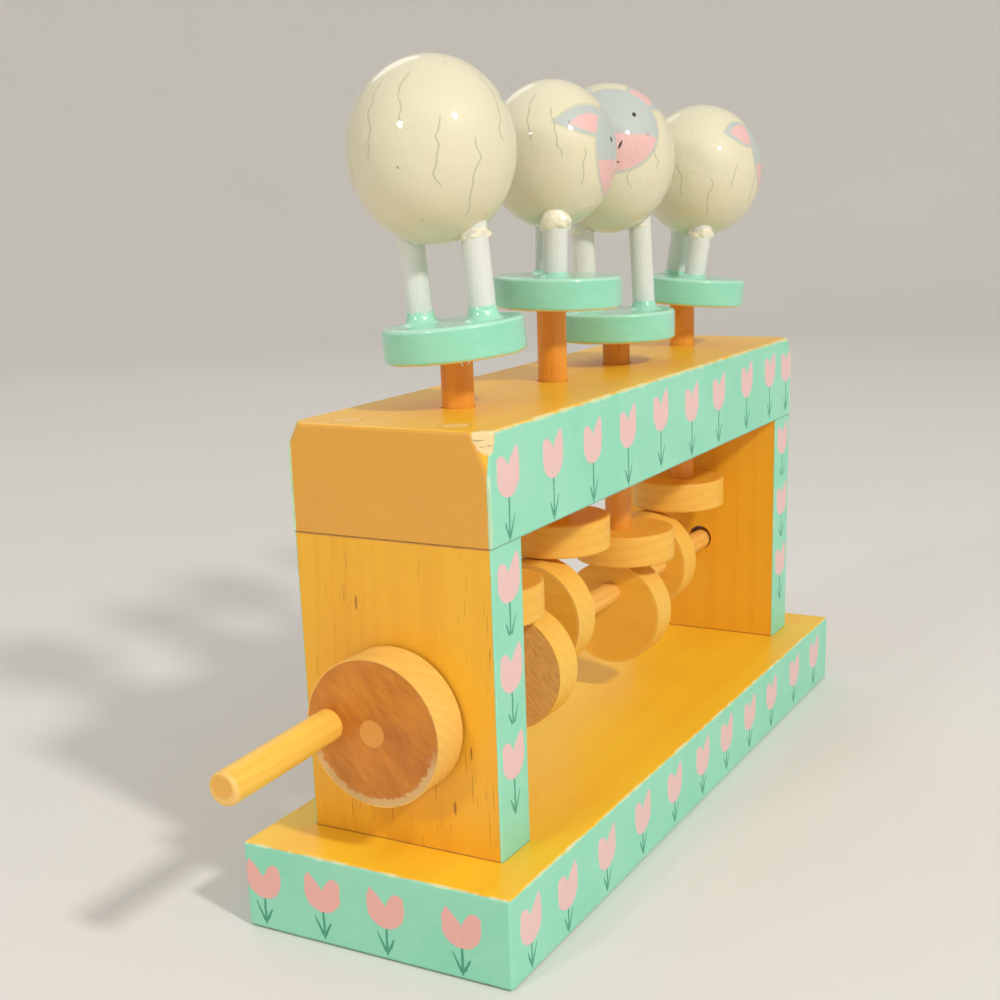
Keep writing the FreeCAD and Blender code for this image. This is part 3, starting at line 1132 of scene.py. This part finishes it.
# fmt: off
STATIONS = (
    Station(
        number=1, dowel_x=-85.0, cam_angle=180.0, cam_x=-70.0,
        follower=(-82.6, -5.0), platform=(-85.0, 0.0), low_clearance=7.0, tilt=4.5,
        radius=23.7, half_height=25.5, leg_show=21.2,
        lean=(-2.0, 4.1), heading=0.0, leg_spread=21.0,
        face=FacePaint(5.0, -5.0, EarPaint((0.84, 0.60), 0.52, 0.25, 20.0, (0.72, 0.52), (0.30, 0.14))),
    ),
    Station(
        number=2, dowel_x=-24.0, cam_angle=90.0, cam_x=-41.0,
        follower=(-24.0, 0.0), platform=(-23.1, -1.8), low_clearance=8.5, tilt=1.5,
        radius=20.6, half_height=22.4, leg_show=14.4,
        lean=(0.5, -1.0), heading=304.0, leg_spread=20.4,
        face=FacePaint(291.0, -5.0, EarPaint((0.72, 0.555), 0.65, 0.26, 5.0, (0.72, 0.50), (0.42, 0.16))),
        foot_rise=0.45,
    ),
    Station(
        number=3, dowel_x=26.0, cam_angle=-90.0, cam_x=24.0,
        follower=(27.0, -2.2), platform=(26.0, 0.0), low_clearance=8.5, tilt=0.0,
        radius=22.8, half_height=24.6, leg_show=26.2,
        lean=(-1.0, 2.0), heading=218.0, leg_spread=20.4,
        face=FacePaint(210.0, 20.0, EarPaint((0.62, 0.76), 0.46, 0.32, 45.0, (0.53, 0.68), (0.27, 0.21))),
        foot_rise=0.75,
    ),
    Station(
        number=4, dowel_x=88.0, cam_angle=0.0, cam_x=68.0,
        follower=(87.4, 1.4), platform=(89.1, -2.3), low_clearance=8.5, tilt=5.0,
        radius=22.9, half_height=24.0, leg_show=14.7,
        lean=(3.0, -6.2), heading=313.0, leg_spread=20.4,
        face=FacePaint(304.5, 7.0, EarPaint((0.76, 0.54), 0.40, 0.26, 25.0, (0.72, 0.51), (0.33, 0.21))),
        foot_rise=0.45,
    ),
)
# fmt: on


class SheepBody:
    """A cream egg with wavy wool strokes and a grey and pink face, under a glossy varnish."""

    CREAM = colour(227, 221, 190)
    CREAM_WARM = colour(219, 208, 170)
    STROKE = colour(186, 184, 152)
    FACE_GREY = colour(188, 196, 190)
    MUZZLE = colour(234, 186, 180)
    OUTLINE = colour(166, 168, 150)
    DARK = colour(52, 44, 44)

    STROKE_COLUMNS = 14

    # The painted face's oval, in body radii
    FACE_HALF_WIDTH = 0.676
    FACE_HALF_HEIGHT = 0.602
    FACE_MIDDLE = 0.086

    def __init__(self, station: Station) -> None:
        """Prepares the sheet and the coordinates on the body."""
        self.station = station
        self.node_name = f"sheep_{station.number}_body"
        self.sheet = NodeSheet(f"sheep_{station.number}_wool")
        x, y, z = self.sheet.place()
        centre = station.body_centre
        heading = math.radians(station.face.heading)
        off_x = (x - centre.x) / station.radius
        off_y = (y - centre.y) / station.radius
        self.up = (z - centre.z) / station.half_height
        self.forward = off_x * math.cos(heading) + off_y * math.sin(heading)
        self.left = off_y * math.cos(heading) - off_x * math.sin(heading)

    def wool(self) -> Term:
        """The mask of the thin wavy strokes."""
        sheet = self.sheet
        number = self.station.number
        angle = sheet.maths("ARCTAN2", self.left, self.forward)
        column = angle * (self.STROKE_COLUMNS / (2 * math.pi)) + (self.STROKE_COLUMNS + 0.3 * number)
        index = column.floor()
        wave = sheet.noise((index * 7.3, self.up * 2.1, float(number)), 1.6, 1.5) - 0.5
        ring = (1.0 - self.up * self.up).most(0.05).root()
        spread = 2 * math.pi * self.station.radius / self.STROKE_COLUMNS
        off = (column.fraction() - 0.5 + wave * 0.85) * ring * spread
        middle = sheet.dice(index, 3.0 + number) * 1.0 - 0.42
        length = sheet.dice(index, 11.0 + number) * 0.26 + 0.18
        pressure = sheet.noise((index * 3.1, self.up * 9.0, 0.0), 1.0, 1.0)
        line = (0.36 - abs(off)).above(0.1, 0.28)
        return line * (length - abs(self.up - middle)).above(0.03, 0.06) * pressure.above(0.3, 0.2)

    def face_plane(self) -> tuple[Term, Term, Term]:
        """Depth, left and up in the face's own frame, in body radii."""
        tilt = math.radians(self.station.face.tilt)
        depth = self.forward * math.cos(tilt) + self.up * math.sin(tilt)
        up = self.up * math.cos(tilt) - self.forward * math.sin(tilt)
        return depth, self.left, up

    def ear(self, side: Term, up: Term, depth: Term) -> tuple[Term, Term, Term]:
        """The leaf-shaped ears.

        Args:
            side: The distance from the face's middle line, without its sign.
            up: Up the face.
            depth: The depth towards the face's middle.

        Returns:
            The masks of the whole ear, of the line round it and of its pink inside.
        """
        sheet = self.sheet
        paint = self.station.face.ear
        reach = sheet.distance(side, up).most(0.001)
        angle = sheet.maths("ARCTAN2", reach, depth)
        out = side / reach * angle
        rise = up / reach * angle
        turn = math.radians(paint.lean)
        masks = []
        for centre, length, width in (
            (paint.centre, paint.half_length, paint.half_width),
            (paint.inside, paint.inside_half[0], paint.inside_half[1]),
        ):
            off = out - centre[0]
            high = rise - centre[1]
            along = (off * math.cos(turn) + high * math.sin(turn)) / length
            wide = high * math.cos(turn) - off * math.sin(turn)
            masks.append((1.0 - along * along) * width - abs(wide))
        whole = masks[0].above(0.01, 0.02)
        line = masks[0].above(-0.022, 0.02) * (1.0 - whole)
        return whole, line, masks[1].above(0.01, 0.03)

    def dress(self) -> bpy.types.Material:
        """Makes the body's finish."""
        sheet = self.sheet
        x, y, z = sheet.place()
        point = (x, y, z)
        cloud = sheet.noise(point, 0.035, 3.0)
        brush = sheet.noise((x, y, z * 0.35), 0.5, 3.0, 0.6)
        base = sheet.mix((cloud - 0.25) * 0.9, self.CREAM, self.CREAM_WARM)
        stroke = self.wool()
        depth, left, up = self.face_plane()
        side = abs(left)
        wide = side / self.FACE_HALF_WIDTH
        high = (up - self.FACE_MIDDLE) / self.FACE_HALF_HEIGHT
        oval = wide * wide + high * high
        front = depth.above(0.02, 0.04)
        face = oval.below(1.0, 0.04) * front
        ear, ear_line, ear_inside = self.ear(side, up, depth)
        ear = ear * (1.0 - face)
        whole = face.most(ear)
        rim = (oval.below(1.07, 0.04) * front).most(ear_line) * (1.0 - whole)
        wavy = (sheet.noise(point, 0.12, 1.0) - 0.5) * 0.08
        muzzle = (up + wavy).below(-0.02, 0.03) * oval.below(0.95, 0.04) * front
        speck = sheet.noise(point, 0.55, 1.0).above(0.80, 0.02)
        base = sheet.coats(
            base,
            (stroke * (1.0 - whole) * 0.75, self.STROKE),
            (rim * 0.35, self.OUTLINE),
            (whole, self.FACE_GREY),
            (ear * ear_inside, self.MUZZLE),
            (muzzle, self.MUZZLE),
            (self.features(left, side, up, front), self.DARK),
            (speck * 0.6, colour(120, 104, 80)),
        )
        dent = sheet.noise(point, 0.16)
        height = brush * 0.05 + dent * 0.35 - stroke * 0.05 + whole * 0.06 - speck * 0.08
        roughness = 0.5 + (brush - 0.5) * 0.12
        return sheet.finish(base, roughness, height, GLOSSY_PAINT)

    def features(self, left: Term, side: Term, up: Term, front: Term) -> Term:
        """The mask of the eyes, the nostrils and the small mouth.

        Args:
            left: The place across the face.
            side: The same without its sign.
            up: Up the face.
            front: The mask of the body's front half.

        Returns:
            The mask.
        """
        eye_x = side - 0.32
        eye_y = up - 0.244
        eye = (0.036 - (eye_x * eye_x + eye_y * eye_y * 0.7).root()).above(0.006, 0.012)
        nostril_x = side - 0.095
        nostril_y = (up + 0.186) / 0.07
        slant = nostril_x - nostril_y * 0.035
        nostril = ((1.0 - nostril_y * nostril_y) * 0.026 - abs(slant)).above(0.006, 0.012)
        mouth_x = (left - 0.047) / 0.05
        mouth = ((1.0 - mouth_x * mouth_x) * 0.016 - abs(up + 0.396)).above(0.004, 0.01)
        return eye.most(nostril).most(mouth * 0.8) * front


@dataclass(frozen=True)
class PaintedLeg:
    """A leg in pale paint, with the platform's mint at its foot and glue at its top."""

    node_name: str
    station: Station

    def dress(self) -> bpy.types.Material:
        """Makes the leg's finish."""
        sheet = NodeSheet(self.node_name)
        x, y, z = sheet.place()
        streak = sheet.noise((x, y, z * 0.16), 1.3, 3.0, 0.6)
        base = sheet.mix(streak, colour(214, 218, 210), colour(234, 235, 227))
        ragged = sheet.noise((x, y, z * 0.4), 0.35)
        height_over = self.station.above_platform(sheet, self.station.platform_middle)
        rise = self.station.foot_rise
        foot = (height_over + (ragged - 0.5) * 4.0 * rise).below(3.4 * rise, 1.4 * rise)
        base = sheet.mix(foot, base, MINT)
        height = streak * 0.12 + foot * 0.15
        return sheet.finish(base, 0.34 + (streak - 0.5) * 0.1, height, GLOSSY_PAINT)


@dataclass(frozen=True)
class GlossyMint:
    """The platforms' thick glossy paint, with brush marks round the side and a bare line at the bottom.

    Args:
        node_name: The CAD node, which names the material too, or that name alone for paint elsewhere.
        station: The platform's station, or None for paint elsewhere.
    """

    node_name: str
    station: Optional[Station] = None

    def dress(self) -> bpy.types.Material:
        """Makes the paint."""
        sheet = NodeSheet(self.node_name)
        x, y, z = sheet.place()
        brush = sheet.noise((x * 0.3, y * 0.3, z * 1.2), 0.4)
        cloud = sheet.noise((x, y, z), 0.06)
        base = sheet.mix(brush, MINT_DEEP, MINT)
        base = sheet.mix((cloud - 0.3) * 0.7, base, MINT_PALE)
        height = brush * 0.1 + cloud * 0.3
        if self.station is None:
            # Paint on the legs' feet lies in the bodies' shade, so it is lightened: painted light
            base = sheet.mix(0.5, base, MINT_PALE)
        else:
            across = x - self.station.platform_base.x
            deep = y - self.station.platform_base.y
            out = sheet.distance(across, deep)
            over = self.station.above_platform(sheet, self.station.platform_base)
            # A pale band along the platform's upper rim: a painted highlight
            rim = out.above(PLATFORM_RADIUS - 1.1, 0.5) * over.above(PLATFORM_THICKNESS - 0.9, 0.6)
            base = sheet.mix(rim * 0.35, base, colour(214, 244, 222))
            ragged = sheet.noise((x, y, z), 0.35)
            unpainted = (over + (ragged - 0.5) * 0.9).below(0.55, 0.3)
            base = sheet.mix(unpainted * 0.85, base, colour(236, 220, 140))
            hair = sheet.noise((x * 0.3, y * 0.3, z * 0.9 + x * 0.5), 1.5, 1.0).above(0.73, 0.03)
            base = sheet.mix(hair * 0.2, base, colour(110, 176, 146))
            height = height - hair * 0.04
        return sheet.finish(base, 0.3 + (brush - 0.5) * 0.1, height, GLOSSY_PAINT)


@dataclass(frozen=True)
class Glue:
    """Set glue under a coat of varnish: pale, lumpy and glossy."""

    name: str = "set_glue"

    def dress(self) -> bpy.types.Material:
        """Makes the glue."""
        sheet = NodeSheet(self.name)
        x, y, z = sheet.place()
        lump = sheet.noise((x, y, z), 0.6, 3.0, 0.6)
        base = sheet.mix(lump, colour(236, 228, 196), colour(250, 244, 222))
        return sheet.finish(base, 0.28 + lump * 0.15, lump * 0.3, GLOSSY_PAINT)


# ---- New pieces ----


def make_piece(name: str, mesh_maker: bmesh.types.BMesh, material: bpy.types.Material) -> bpy.types.Object:
    """Turns a finished bmesh into a smooth-shaded piece.

    Args:
        name: The piece's name.
        mesh_maker: The bmesh, in metres, which is freed.
        material: Its material.

    Returns:
        The piece.
    """
    bmesh.ops.recalc_face_normals(mesh_maker, faces=mesh_maker.faces)
    mesh = bpy.data.meshes.new(name)
    mesh_maker.to_mesh(mesh)
    mesh_maker.free()
    for face in mesh.polygons:
        face.use_smooth = True
    mesh.materials.append(material)
    piece = bpy.data.objects.new(name, mesh)
    bpy.context.scene.collection.objects.link(piece)
    return piece


def turned(outline: Sequence[tuple[float, float]], steps: int) -> bmesh.types.BMesh:
    """Turns an outline round the Z axis.

    Args:
        outline: Its points, each a radius and a height.
        steps: How many steps a full turn has.

    Returns:
        The bmesh, open at both ends of the outline.
    """
    maker = bmesh.new()
    verts = [maker.verts.new((out, 0, up)) for out, up in outline]
    edges = [maker.edges.new(pair) for pair in zip(verts, verts[1:])]
    circle = {"cent": (0, 0, 0), "axis": (0, 0, 1), "angle": 2 * math.pi, "steps": steps}
    bmesh.ops.spin(maker, geom=verts + edges, use_merge=True, **circle)
    return maker


def turn_from_z(direction: Vector) -> Matrix:
    """The turn that takes +Z to a direction."""
    return direction.to_track_quat("Z", "Y").to_matrix().to_4x4()


def place_along(mesh_maker: bmesh.types.BMesh, place: Vector, direction: Vector) -> None:
    """Turns a bmesh from +Z to a direction and moves it, both given in millimetres."""
    move = Matrix.Translation(place) @ turn_from_z(direction)
    bmesh.ops.transform(mesh_maker, matrix=Matrix.Scale(MM, 4) @ move, verts=mesh_maker.verts)


@dataclass(frozen=True)
class SheepTrim:
    """The small pieces on one sheep: glue at the leg tops, paint at the feet, fibres in the paint.

    Args:
        station: The sheep.
        glue_size: The glue's half width on the left and on the right leg, in millimetres.
        glue_rise: Half the glue's height.
        fibres_under: The angles of the fibres round the platform's lower edge, in degrees.
        fibres_on_top: The same on its upper edge.
    """

    station: Station
    glue_size: tuple[float, float] = (4.4, 4.5)
    glue_rise: float = 3.2
    fibres_under: tuple[float, ...] = ()
    fibres_on_top: tuple[float, ...] = ()

    GLUE_STEPS = 4
    FOOT_SEGMENTS = 40
    # Each point's distance from the leg and its height over the platform
    FOOT_OUTLINE = ((3.0, -0.5), (2.3, 0.0), (1.3, 0.35), (0.65, 1.0), (0.32, 2.0), (0.14, 2.8), (-0.25, 3.3))

    def body_entry(self, side: int) -> Vector:
        """Where a leg's line meets the body's surface."""
        foot, direction = self.station.leg(side)
        centre = self.station.body_centre
        squeeze = Matrix.Diagonal((1, 1, self.station.radius / self.station.half_height))
        start = squeeze @ (foot - centre)
        step = squeeze @ direction
        half = start.dot(step)
        depth = half * half - step.length_squared * (start.length_squared - self.station.radius**2)
        return foot + direction * ((-half - math.sqrt(depth)) / step.length_squared)

    def glue(self, side: int, material: bpy.types.Material) -> bpy.types.Object:
        """The lumpy collar of glue where a leg enters the body.

        Args:
            side: 1 for the sheep's left leg, -1 for its right one.
            material: The glue.

        Returns:
            The piece.
        """
        size = self.glue_size[0 if side > 0 else 1]
        maker = bmesh.new()
        bmesh.ops.create_icosphere(maker, subdivisions=self.GLUE_STEPS, radius=1.0)
        seed = Vector((self.station.number * 3.7, side * 1.9, 0.4))
        for vert in maker.verts:
            lump = noise.noise(vert.co * 1.3 + seed) * 0.24 + noise.noise(vert.co * 3.1 + seed) * 0.08
            vert.co = vert.co * (1.0 + lump)
            taper = 1.0 - 0.12 * vert.co.z
            vert.co.x *= size * taper
            vert.co.y *= size * taper
            vert.co.z *= self.glue_rise
        _, direction = self.station.leg(side)
        place_along(maker, self.body_entry(side) - direction * 0.3, direction)
        name = f"glue_{self.station.number}_{'left' if side > 0 else 'right'}"
        piece = make_piece(name, maker, material)
        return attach(piece, f"sheep_{self.station.number}")

    def foot_paint(self, side: int, material: bpy.types.Material) -> bpy.types.Object:
        """The platform's paint where it has run up a leg's foot.

        Args:
            side: 1 for the sheep's left leg, -1 for its right one.
            material: The mint paint.

        Returns:
            The piece.
        """
        foot, direction = self.station.leg(side)
        maker = turned([(LEG_RADIUS + out, up) for out, up in self.FOOT_OUTLINE], self.FOOT_SEGMENTS)
        rims = [edge for edge in maker.edges if edge.is_boundary]
        bmesh.ops.holes_fill(maker, edges=rims, sides=0)
        seed = Vector((self.station.number * 2.3, side * 4.1, 1.7))
        for vert in maker.verts:
            if vert.co.z > 0.2:
                around = Vector((vert.co.x, vert.co.y, 0)).normalized()
                vert.co.z *= (1.0 + noise.noise(around * 1.3 + seed) * 0.5) * self.station.foot_rise
        place_along(maker, foot, direction)
        name = f"foot_paint_{self.station.number}_{'left' if side > 0 else 'right'}"
        piece = make_piece(name, maker, material)
        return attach(piece, f"sheep_{self.station.number}")

    def fibres(self, angles: Sequence[float], side: int, material: bpy.types.Material) -> bpy.types.Object:
        """Short fibres that stick out of the paint along an edge of the platform.

        Args:
            angles: Their places round the platform, in degrees.
            side: 1 for the upper edge, -1 for the lower one.
            material: The mint paint.

        Returns:
            The piece.
        """
        station = self.station
        normal = station.platform_normal
        middle = station.platform_base + normal * (PLATFORM_THICKNESS if side > 0 else 0.0)
        maker = bmesh.new()
        for angle in angles:
            turn = math.radians(angle)
            outwards = Vector((math.cos(turn), math.sin(turn), 0))
            outwards = (outwards - normal * outwards.dot(normal)).normalized()
            length = 1.7 + 0.7 * noise.noise(Vector((angle * 0.31, side, 0.3)))
            bend = noise.noise(Vector((angle * 0.17, side, 4.1)))
            sideways = normal.cross(outwards)
            direction = (normal * side + outwards * 0.25 + sideways * bend * 1.6).normalized()
            foot = middle + outwards * (PLATFORM_RADIUS - 0.9) - normal * (side * 0.35)
            size = {"radius1": 0.13, "radius2": 0.04, "depth": length}
            one = bmesh.ops.create_cone(maker, cap_ends=True, segments=8, **size)
            rise = Matrix.Translation((0, 0, length / 2))
            move = Matrix.Scale(MM, 4) @ Matrix.Translation(foot) @ turn_from_z(direction) @ rise
            bmesh.ops.transform(maker, matrix=move, verts=one["verts"])
        name = f"paint_fibres_{station.number}_{'top' if side > 0 else 'under'}"
        piece = make_piece(name, maker, material)
        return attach(piece, f"sheep_{station.number}")

    def build(self, glue: bpy.types.Material, paint: bpy.types.Material) -> list[bpy.types.Object]:
        """All the small pieces on this sheep."""
        pieces = [self.glue(side, glue) for side in (1, -1)]
        pieces += [self.foot_paint(side, paint) for side in (1, -1)]
        if self.fibres_under:
            pieces.append(self.fibres(self.fibres_under, -1, paint))
        if self.fibres_on_top:
            pieces.append(self.fibres(self.fibres_on_top, 1, paint))
        return pieces


# ---- Studio ----


@dataclass(frozen=True)
class Studio:
    """The camera at the photograph's angle, soft lamps and a pale floor.

    Args:
        eye: The camera's place in metres.
        right: The image's right, in the part's frame.
        down: The image's down.
        ahead: The way that the camera looks.
        focal_length: In millimetres, on a sensor of 36 mm.
        shift_up: How far the view is shifted up, in image widths.
        floor_tone: The floor's colour.
    """

    eye: tuple[float, float, float] = (-0.44712, -0.21464, 0.20694)
    right: tuple[float, float, float] = (0.480578, -0.876315, -0.033421)
    down: tuple[float, float, float] = (-0.251656, -0.101302, -0.962501)
    ahead: tuple[float, float, float] = (0.840068, 0.470967, -0.269213)
    focal_length: float = 52.217
    shift_up: float = 0.1
    floor_tone: tuple = colour(226, 223, 217)

    SENSOR_WIDTH = 36.0
    CLIP = (0.01, 50.0)
    AIM = (0.0, 0.0, 0.1)
    FLOOR_REACH = 1.7
    FLOOR_BEND = 0.6
    FLOOR_RIM = (2.32, 1.9)
    FLOOR_SEGMENTS = 96
    FLOOR_DROP = 0.0003

    def camera(self) -> None:
        """Makes the camera."""
        data = bpy.data.cameras.new("photo_view")
        data.sensor_width = self.SENSOR_WIDTH
        data.lens = self.focal_length
        data.shift_y = self.shift_up
        data.clip_start, data.clip_end = self.CLIP
        held = bpy.data.objects.new("photo_view", data)
        columns = (Vector(self.right), -Vector(self.down), -Vector(self.ahead))
        turn = Matrix(columns).transposed().to_4x4()
        held.matrix_world = Matrix.Translation(self.eye) @ turn
        bpy.context.scene.collection.objects.link(held)
        bpy.context.scene.camera = held

    def lamp(
        self, name: str, place: Sequence[float], size: float, power: float, tone: Sequence[float]
    ) -> None:
        """Makes a round lamp that shines at the object.

        Args:
            name: The lamp's name.
            place: Its place in metres.
            size: Its width in metres.
            power: Its power in watts.
            tone: Its colour.
        """
        data = bpy.data.lights.new(name, "AREA")
        data.shape = "DISK"
        data.size = size
        data.energy = power
        data.color = tone
        held = bpy.data.objects.new(name, data)
        aim = Vector(self.AIM) - Vector(place)
        turn = aim.to_track_quat("-Z", "Y").to_matrix().to_4x4()
        held.matrix_world = Matrix.Translation(place) @ turn
        bpy.context.scene.collection.objects.link(held)

    def lights(self) -> None:
        """Makes the lamps and the even light of the room."""
        self.lamp("key", (-0.55, -1.25, 1.15), 0.16, 15.0, (1.0, 0.98, 0.95))
        self.lamp("fill", (-1.4, 0.3, 0.9), 0.2, 3.5, (1.0, 0.98, 0.96))
        self.lamp("back", (0.9, 1.1, 1.2), 0.7, 1.6, (0.98, 0.99, 1.0))
        world = bpy.data.worlds.new("room")
        bpy.context.scene.world = world
        world.use_nodes = True
        background = world.node_tree.nodes["Background"]
        background.inputs["Color"].default_value = (1.0, 0.99, 0.975, 1.0)
        background.inputs["Strength"].default_value = 0.64

    def floor(self) -> None:
        """Makes a round floor whose far edge curves up into a wall."""
        reach, bend = self.FLOOR_REACH, self.FLOOR_BEND
        outline = [(0.0, 0.0), (reach, 0.0)]
        for turn in (0.3, 0.6, 0.9, 1.2, 1.5):
            outline.append((reach + bend * math.sin(turn), bend - bend * math.cos(turn)))
        outline.append(self.FLOOR_RIM)
        maker = turned(outline, self.FLOOR_SEGMENTS)
        bmesh.ops.remove_doubles(maker, verts=maker.verts, dist=1e-6)
        bmesh.ops.translate(maker, vec=(0, 0, -self.FLOOR_DROP), verts=maker.verts)
        sheet = NodeSheet("studio_floor")
        x, y, z = sheet.place()
        cloud = sheet.noise((x, y, z), 0.004)
        base = sheet.mix(cloud, self.floor_tone, colour(230, 227, 222))
        piece = make_piece("studio_floor", maker, sheet.finish(base, 0.85, None, BARE))
        bpy.context.view_layer.update()

    def build(self) -> None:
        """Sets up the whole studio."""
        view = bpy.context.scene.view_settings
        view.view_transform = "Standard"
        self.camera()
        self.lights()
        self.floor()


# ---- The whole part ----


# Where rods take the colour of an end. The lift dowels' ends are hidden, so these lie beyond the rods.
HANDLE_ENDS = (-185.6, -120.0)
HANDLE_CORE_RADIUS = 3.3
LIFT_DOWEL_ENDS = (60.0, 240.0)

Finish = Union[PaintedBoard, WoodenDisc, Dowel, SheepBody, PaintedLeg, GlossyMint]

SHAFT_WOOD = PineGrain(
    Axis.X, light=colour(250, 204, 110), dark=colour(230, 160, 66), pith=(6.0, 30.0), ring=2.6
)
SHAFT_END = colour(224, 148, 58)
DISC_WOOD = PineGrain(
    Axis.Y,
    light=colour(246, 196, 96),
    dark=colour(234, 172, 70),
    pith=(-150.0, 44.0),
    ring=3.2,
    flecks=0.1,
)
HANDLE_WOOD = PineGrain(
    Axis.X,
    light=colour(252, 206, 88),
    dark=colour(242, 178, 64),
    pith=(20.0, 40.0),
    ring=2.8,
    flecks=0.2,
)


@dataclass
class Automaton:
    """Dresses the CAD nodes and adds the small pieces.

    Args:
        nodes: The CAD nodes by name.
        dressed: The nodes that have their finish.
    """

    nodes: dict
    dressed: list = field(default_factory=list)

    def dress(self, finish: Finish) -> None:
        """Gives a finish to its CAD node."""
        node = self.nodes[finish.node_name]
        node.data.materials.clear()
        node.data.materials.append(finish.dress())
        self.dressed.append(finish.node_name)
        LOG.info("dressed %s", finish.node_name)

    def frame(self) -> None:
        """The base board, the posts, the beam and their dowels."""
        self.dress(BaseBoard())
        crank_side = PineGrain(
            Axis.Z,
            light=colour(249, 188, 50),
            dark=colour(236, 165, 40),
            pith=(-170.0, -24.0),
            ring_depth=0.2,
            flecks=0.45,
            knots=CRANK_POST_KNOTS,
        )
        far_side = PineGrain(Axis.Z, pith=(60.0, 30.0), ring=5.0, ring_depth=0.2, flecks=0.0)
        self.dress(Post("crank_post", -1, CRANK_POST_TULIPS, crank_side))
        self.dress(Post("far_post", 1, FAR_POST_TULIPS, far_side))
        self.dress(TopBeam())
        peg = PineGrain(Axis.Z, ring=3.0, pith=(3.0, 40.0), light=colour(238, 172, 60))
        for name, low, high in (("base_dowels", 9.0, 47.0), ("beam_dowels", 97.0, BEAM_TOP)):
            self.dress(Dowel(name, peg, (low, high)))

    def crank(self) -> None:
        """The shaft, the crank's disc and handle, and the cams."""
        self.dress(Dowel("camshaft", SHAFT_WOOD, (DISC_FRONT_X, FRAME_HALF_LENGTH), SHAFT_END))
        axle = (0.0, SHAFT_Z)
        self.dress(WoodenDisc("crank_disc", Axis.X, axle, DISC_RADIUS, DISC_WOOD, FaceMark.SCRATCHED))
        low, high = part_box("crank_handle")
        core = ((low[1] + high[1]) / 2 / MM, (low[2] + high[2]) / 2 / MM, HANDLE_CORE_RADIUS)
        self.dress(Dowel("crank_handle", HANDLE_WOOD, HANDLE_ENDS, core=core))
        for station in STATIONS:
            angle = math.radians(station.cam_angle)
            middle = (CAM_THROW * math.cos(angle), SHAFT_Z + CAM_THROW * math.sin(angle))
            wood = PineGrain(
                Axis.Y,
                light=colour(248, 197, 74),
                dark=colour(234, 168, 50),
                pith=(station.cam_x - 40.0, 20.0 + 9.0 * station.number),
                ring=3.6,
                ring_depth=0.22,
                flecks=0.0,
            )
            mark = FaceMark.SAW if station.number == 1 else FaceMark.PLAIN
            self.dress(WoodenDisc(f"cam_{station.number}", Axis.X, middle, CAM_RADIUS, wood, mark))
            ends = (station.cam_x - 3.0, station.cam_x + 6.0)
            self.dress(Dowel(f"cam_key_{station.number}", SHAFT_WOOD, ends))

    def followers(self) -> None:
        """The follower discs and the lift dowels."""
        for station in STATIONS:
            wood = PineGrain(
                Axis.X,
                light=colour(247, 192, 70),
                dark=colour(231, 161, 46),
                pith=(12.0 * station.number - 30.0, 160.0),
                ring=4.0,
                ring_depth=0.24,
                flecks=0.0,
            )
            name = f"follower_disc_{station.number}"
            self.dress(WoodenDisc(name, Axis.Z, station.follower, FOLLOWER_RADIUS, wood))
            pith = (station.dowel_x + 20.0, 9.0)
            rod = PineGrain(Axis.Z, light=colour(242, 170, 60), dark=colour(218, 132, 36), pith=pith)
            self.dress(Dowel(f"lift_dowel_{station.number}", rod, LIFT_DOWEL_ENDS))

    def sheep(self) -> None:
        """The platforms, the sheep and the small pieces on them."""
        glue = Glue().dress()
        # The feet's mint, lightened as painted light for the bodies' shade
        foot_mint = GlossyMint("foot_mint").dress()
        trims = (
            SheepTrim(
                STATIONS[0],
                glue_size=(3.7, 4.4),
                glue_rise=2.6,
                fibres_under=(214.0, 222.0, 233.0, 241.0, 246.0, 255.0, 263.0, 268.0, 276.0),
                fibres_on_top=(158.0, 164.0, 204.0, 209.0, 215.0),
            ),
            SheepTrim(STATIONS[1], glue_size=(4.4, 4.9), glue_rise=4.2, fibres_under=(219.0, 258.0)),
            SheepTrim(STATIONS[2], glue_size=(3.8, 4.1), glue_rise=2.2),
            SheepTrim(STATIONS[3], glue_size=(4.0, 4.3), glue_rise=4.0),
        )
        for station, trim in zip(STATIONS, trims):
            number = station.number
            self.dress(GlossyMint(f"platform_{number}", station))
            self.dress(SheepBody(station))
            for side in ("left", "right"):
                self.dress(PaintedLeg(f"sheep_{number}_{side}_leg", station))
            for piece in trim.build(glue, foot_mint):
                LOG.info("built %s", piece.name)

    def build(self) -> None:
        """Dresses every node, in order."""
        for step in (self.frame, self.crank, self.followers, self.sheep):
            step()
        bare = sorted(set(self.nodes) - set(self.dressed))
        if bare:
            raise RuntimeError(f"nodes without a finish: {bare}")


def main() -> None:
    """Loads the frame, dresses it and sets up the studio."""
    logging.basicConfig(level=logging.INFO, format="%(name)s: %(message)s")
    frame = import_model()
    Automaton(frame["nodes"]).build()
    Studio().build()


if __name__ == "__main__":
    main()
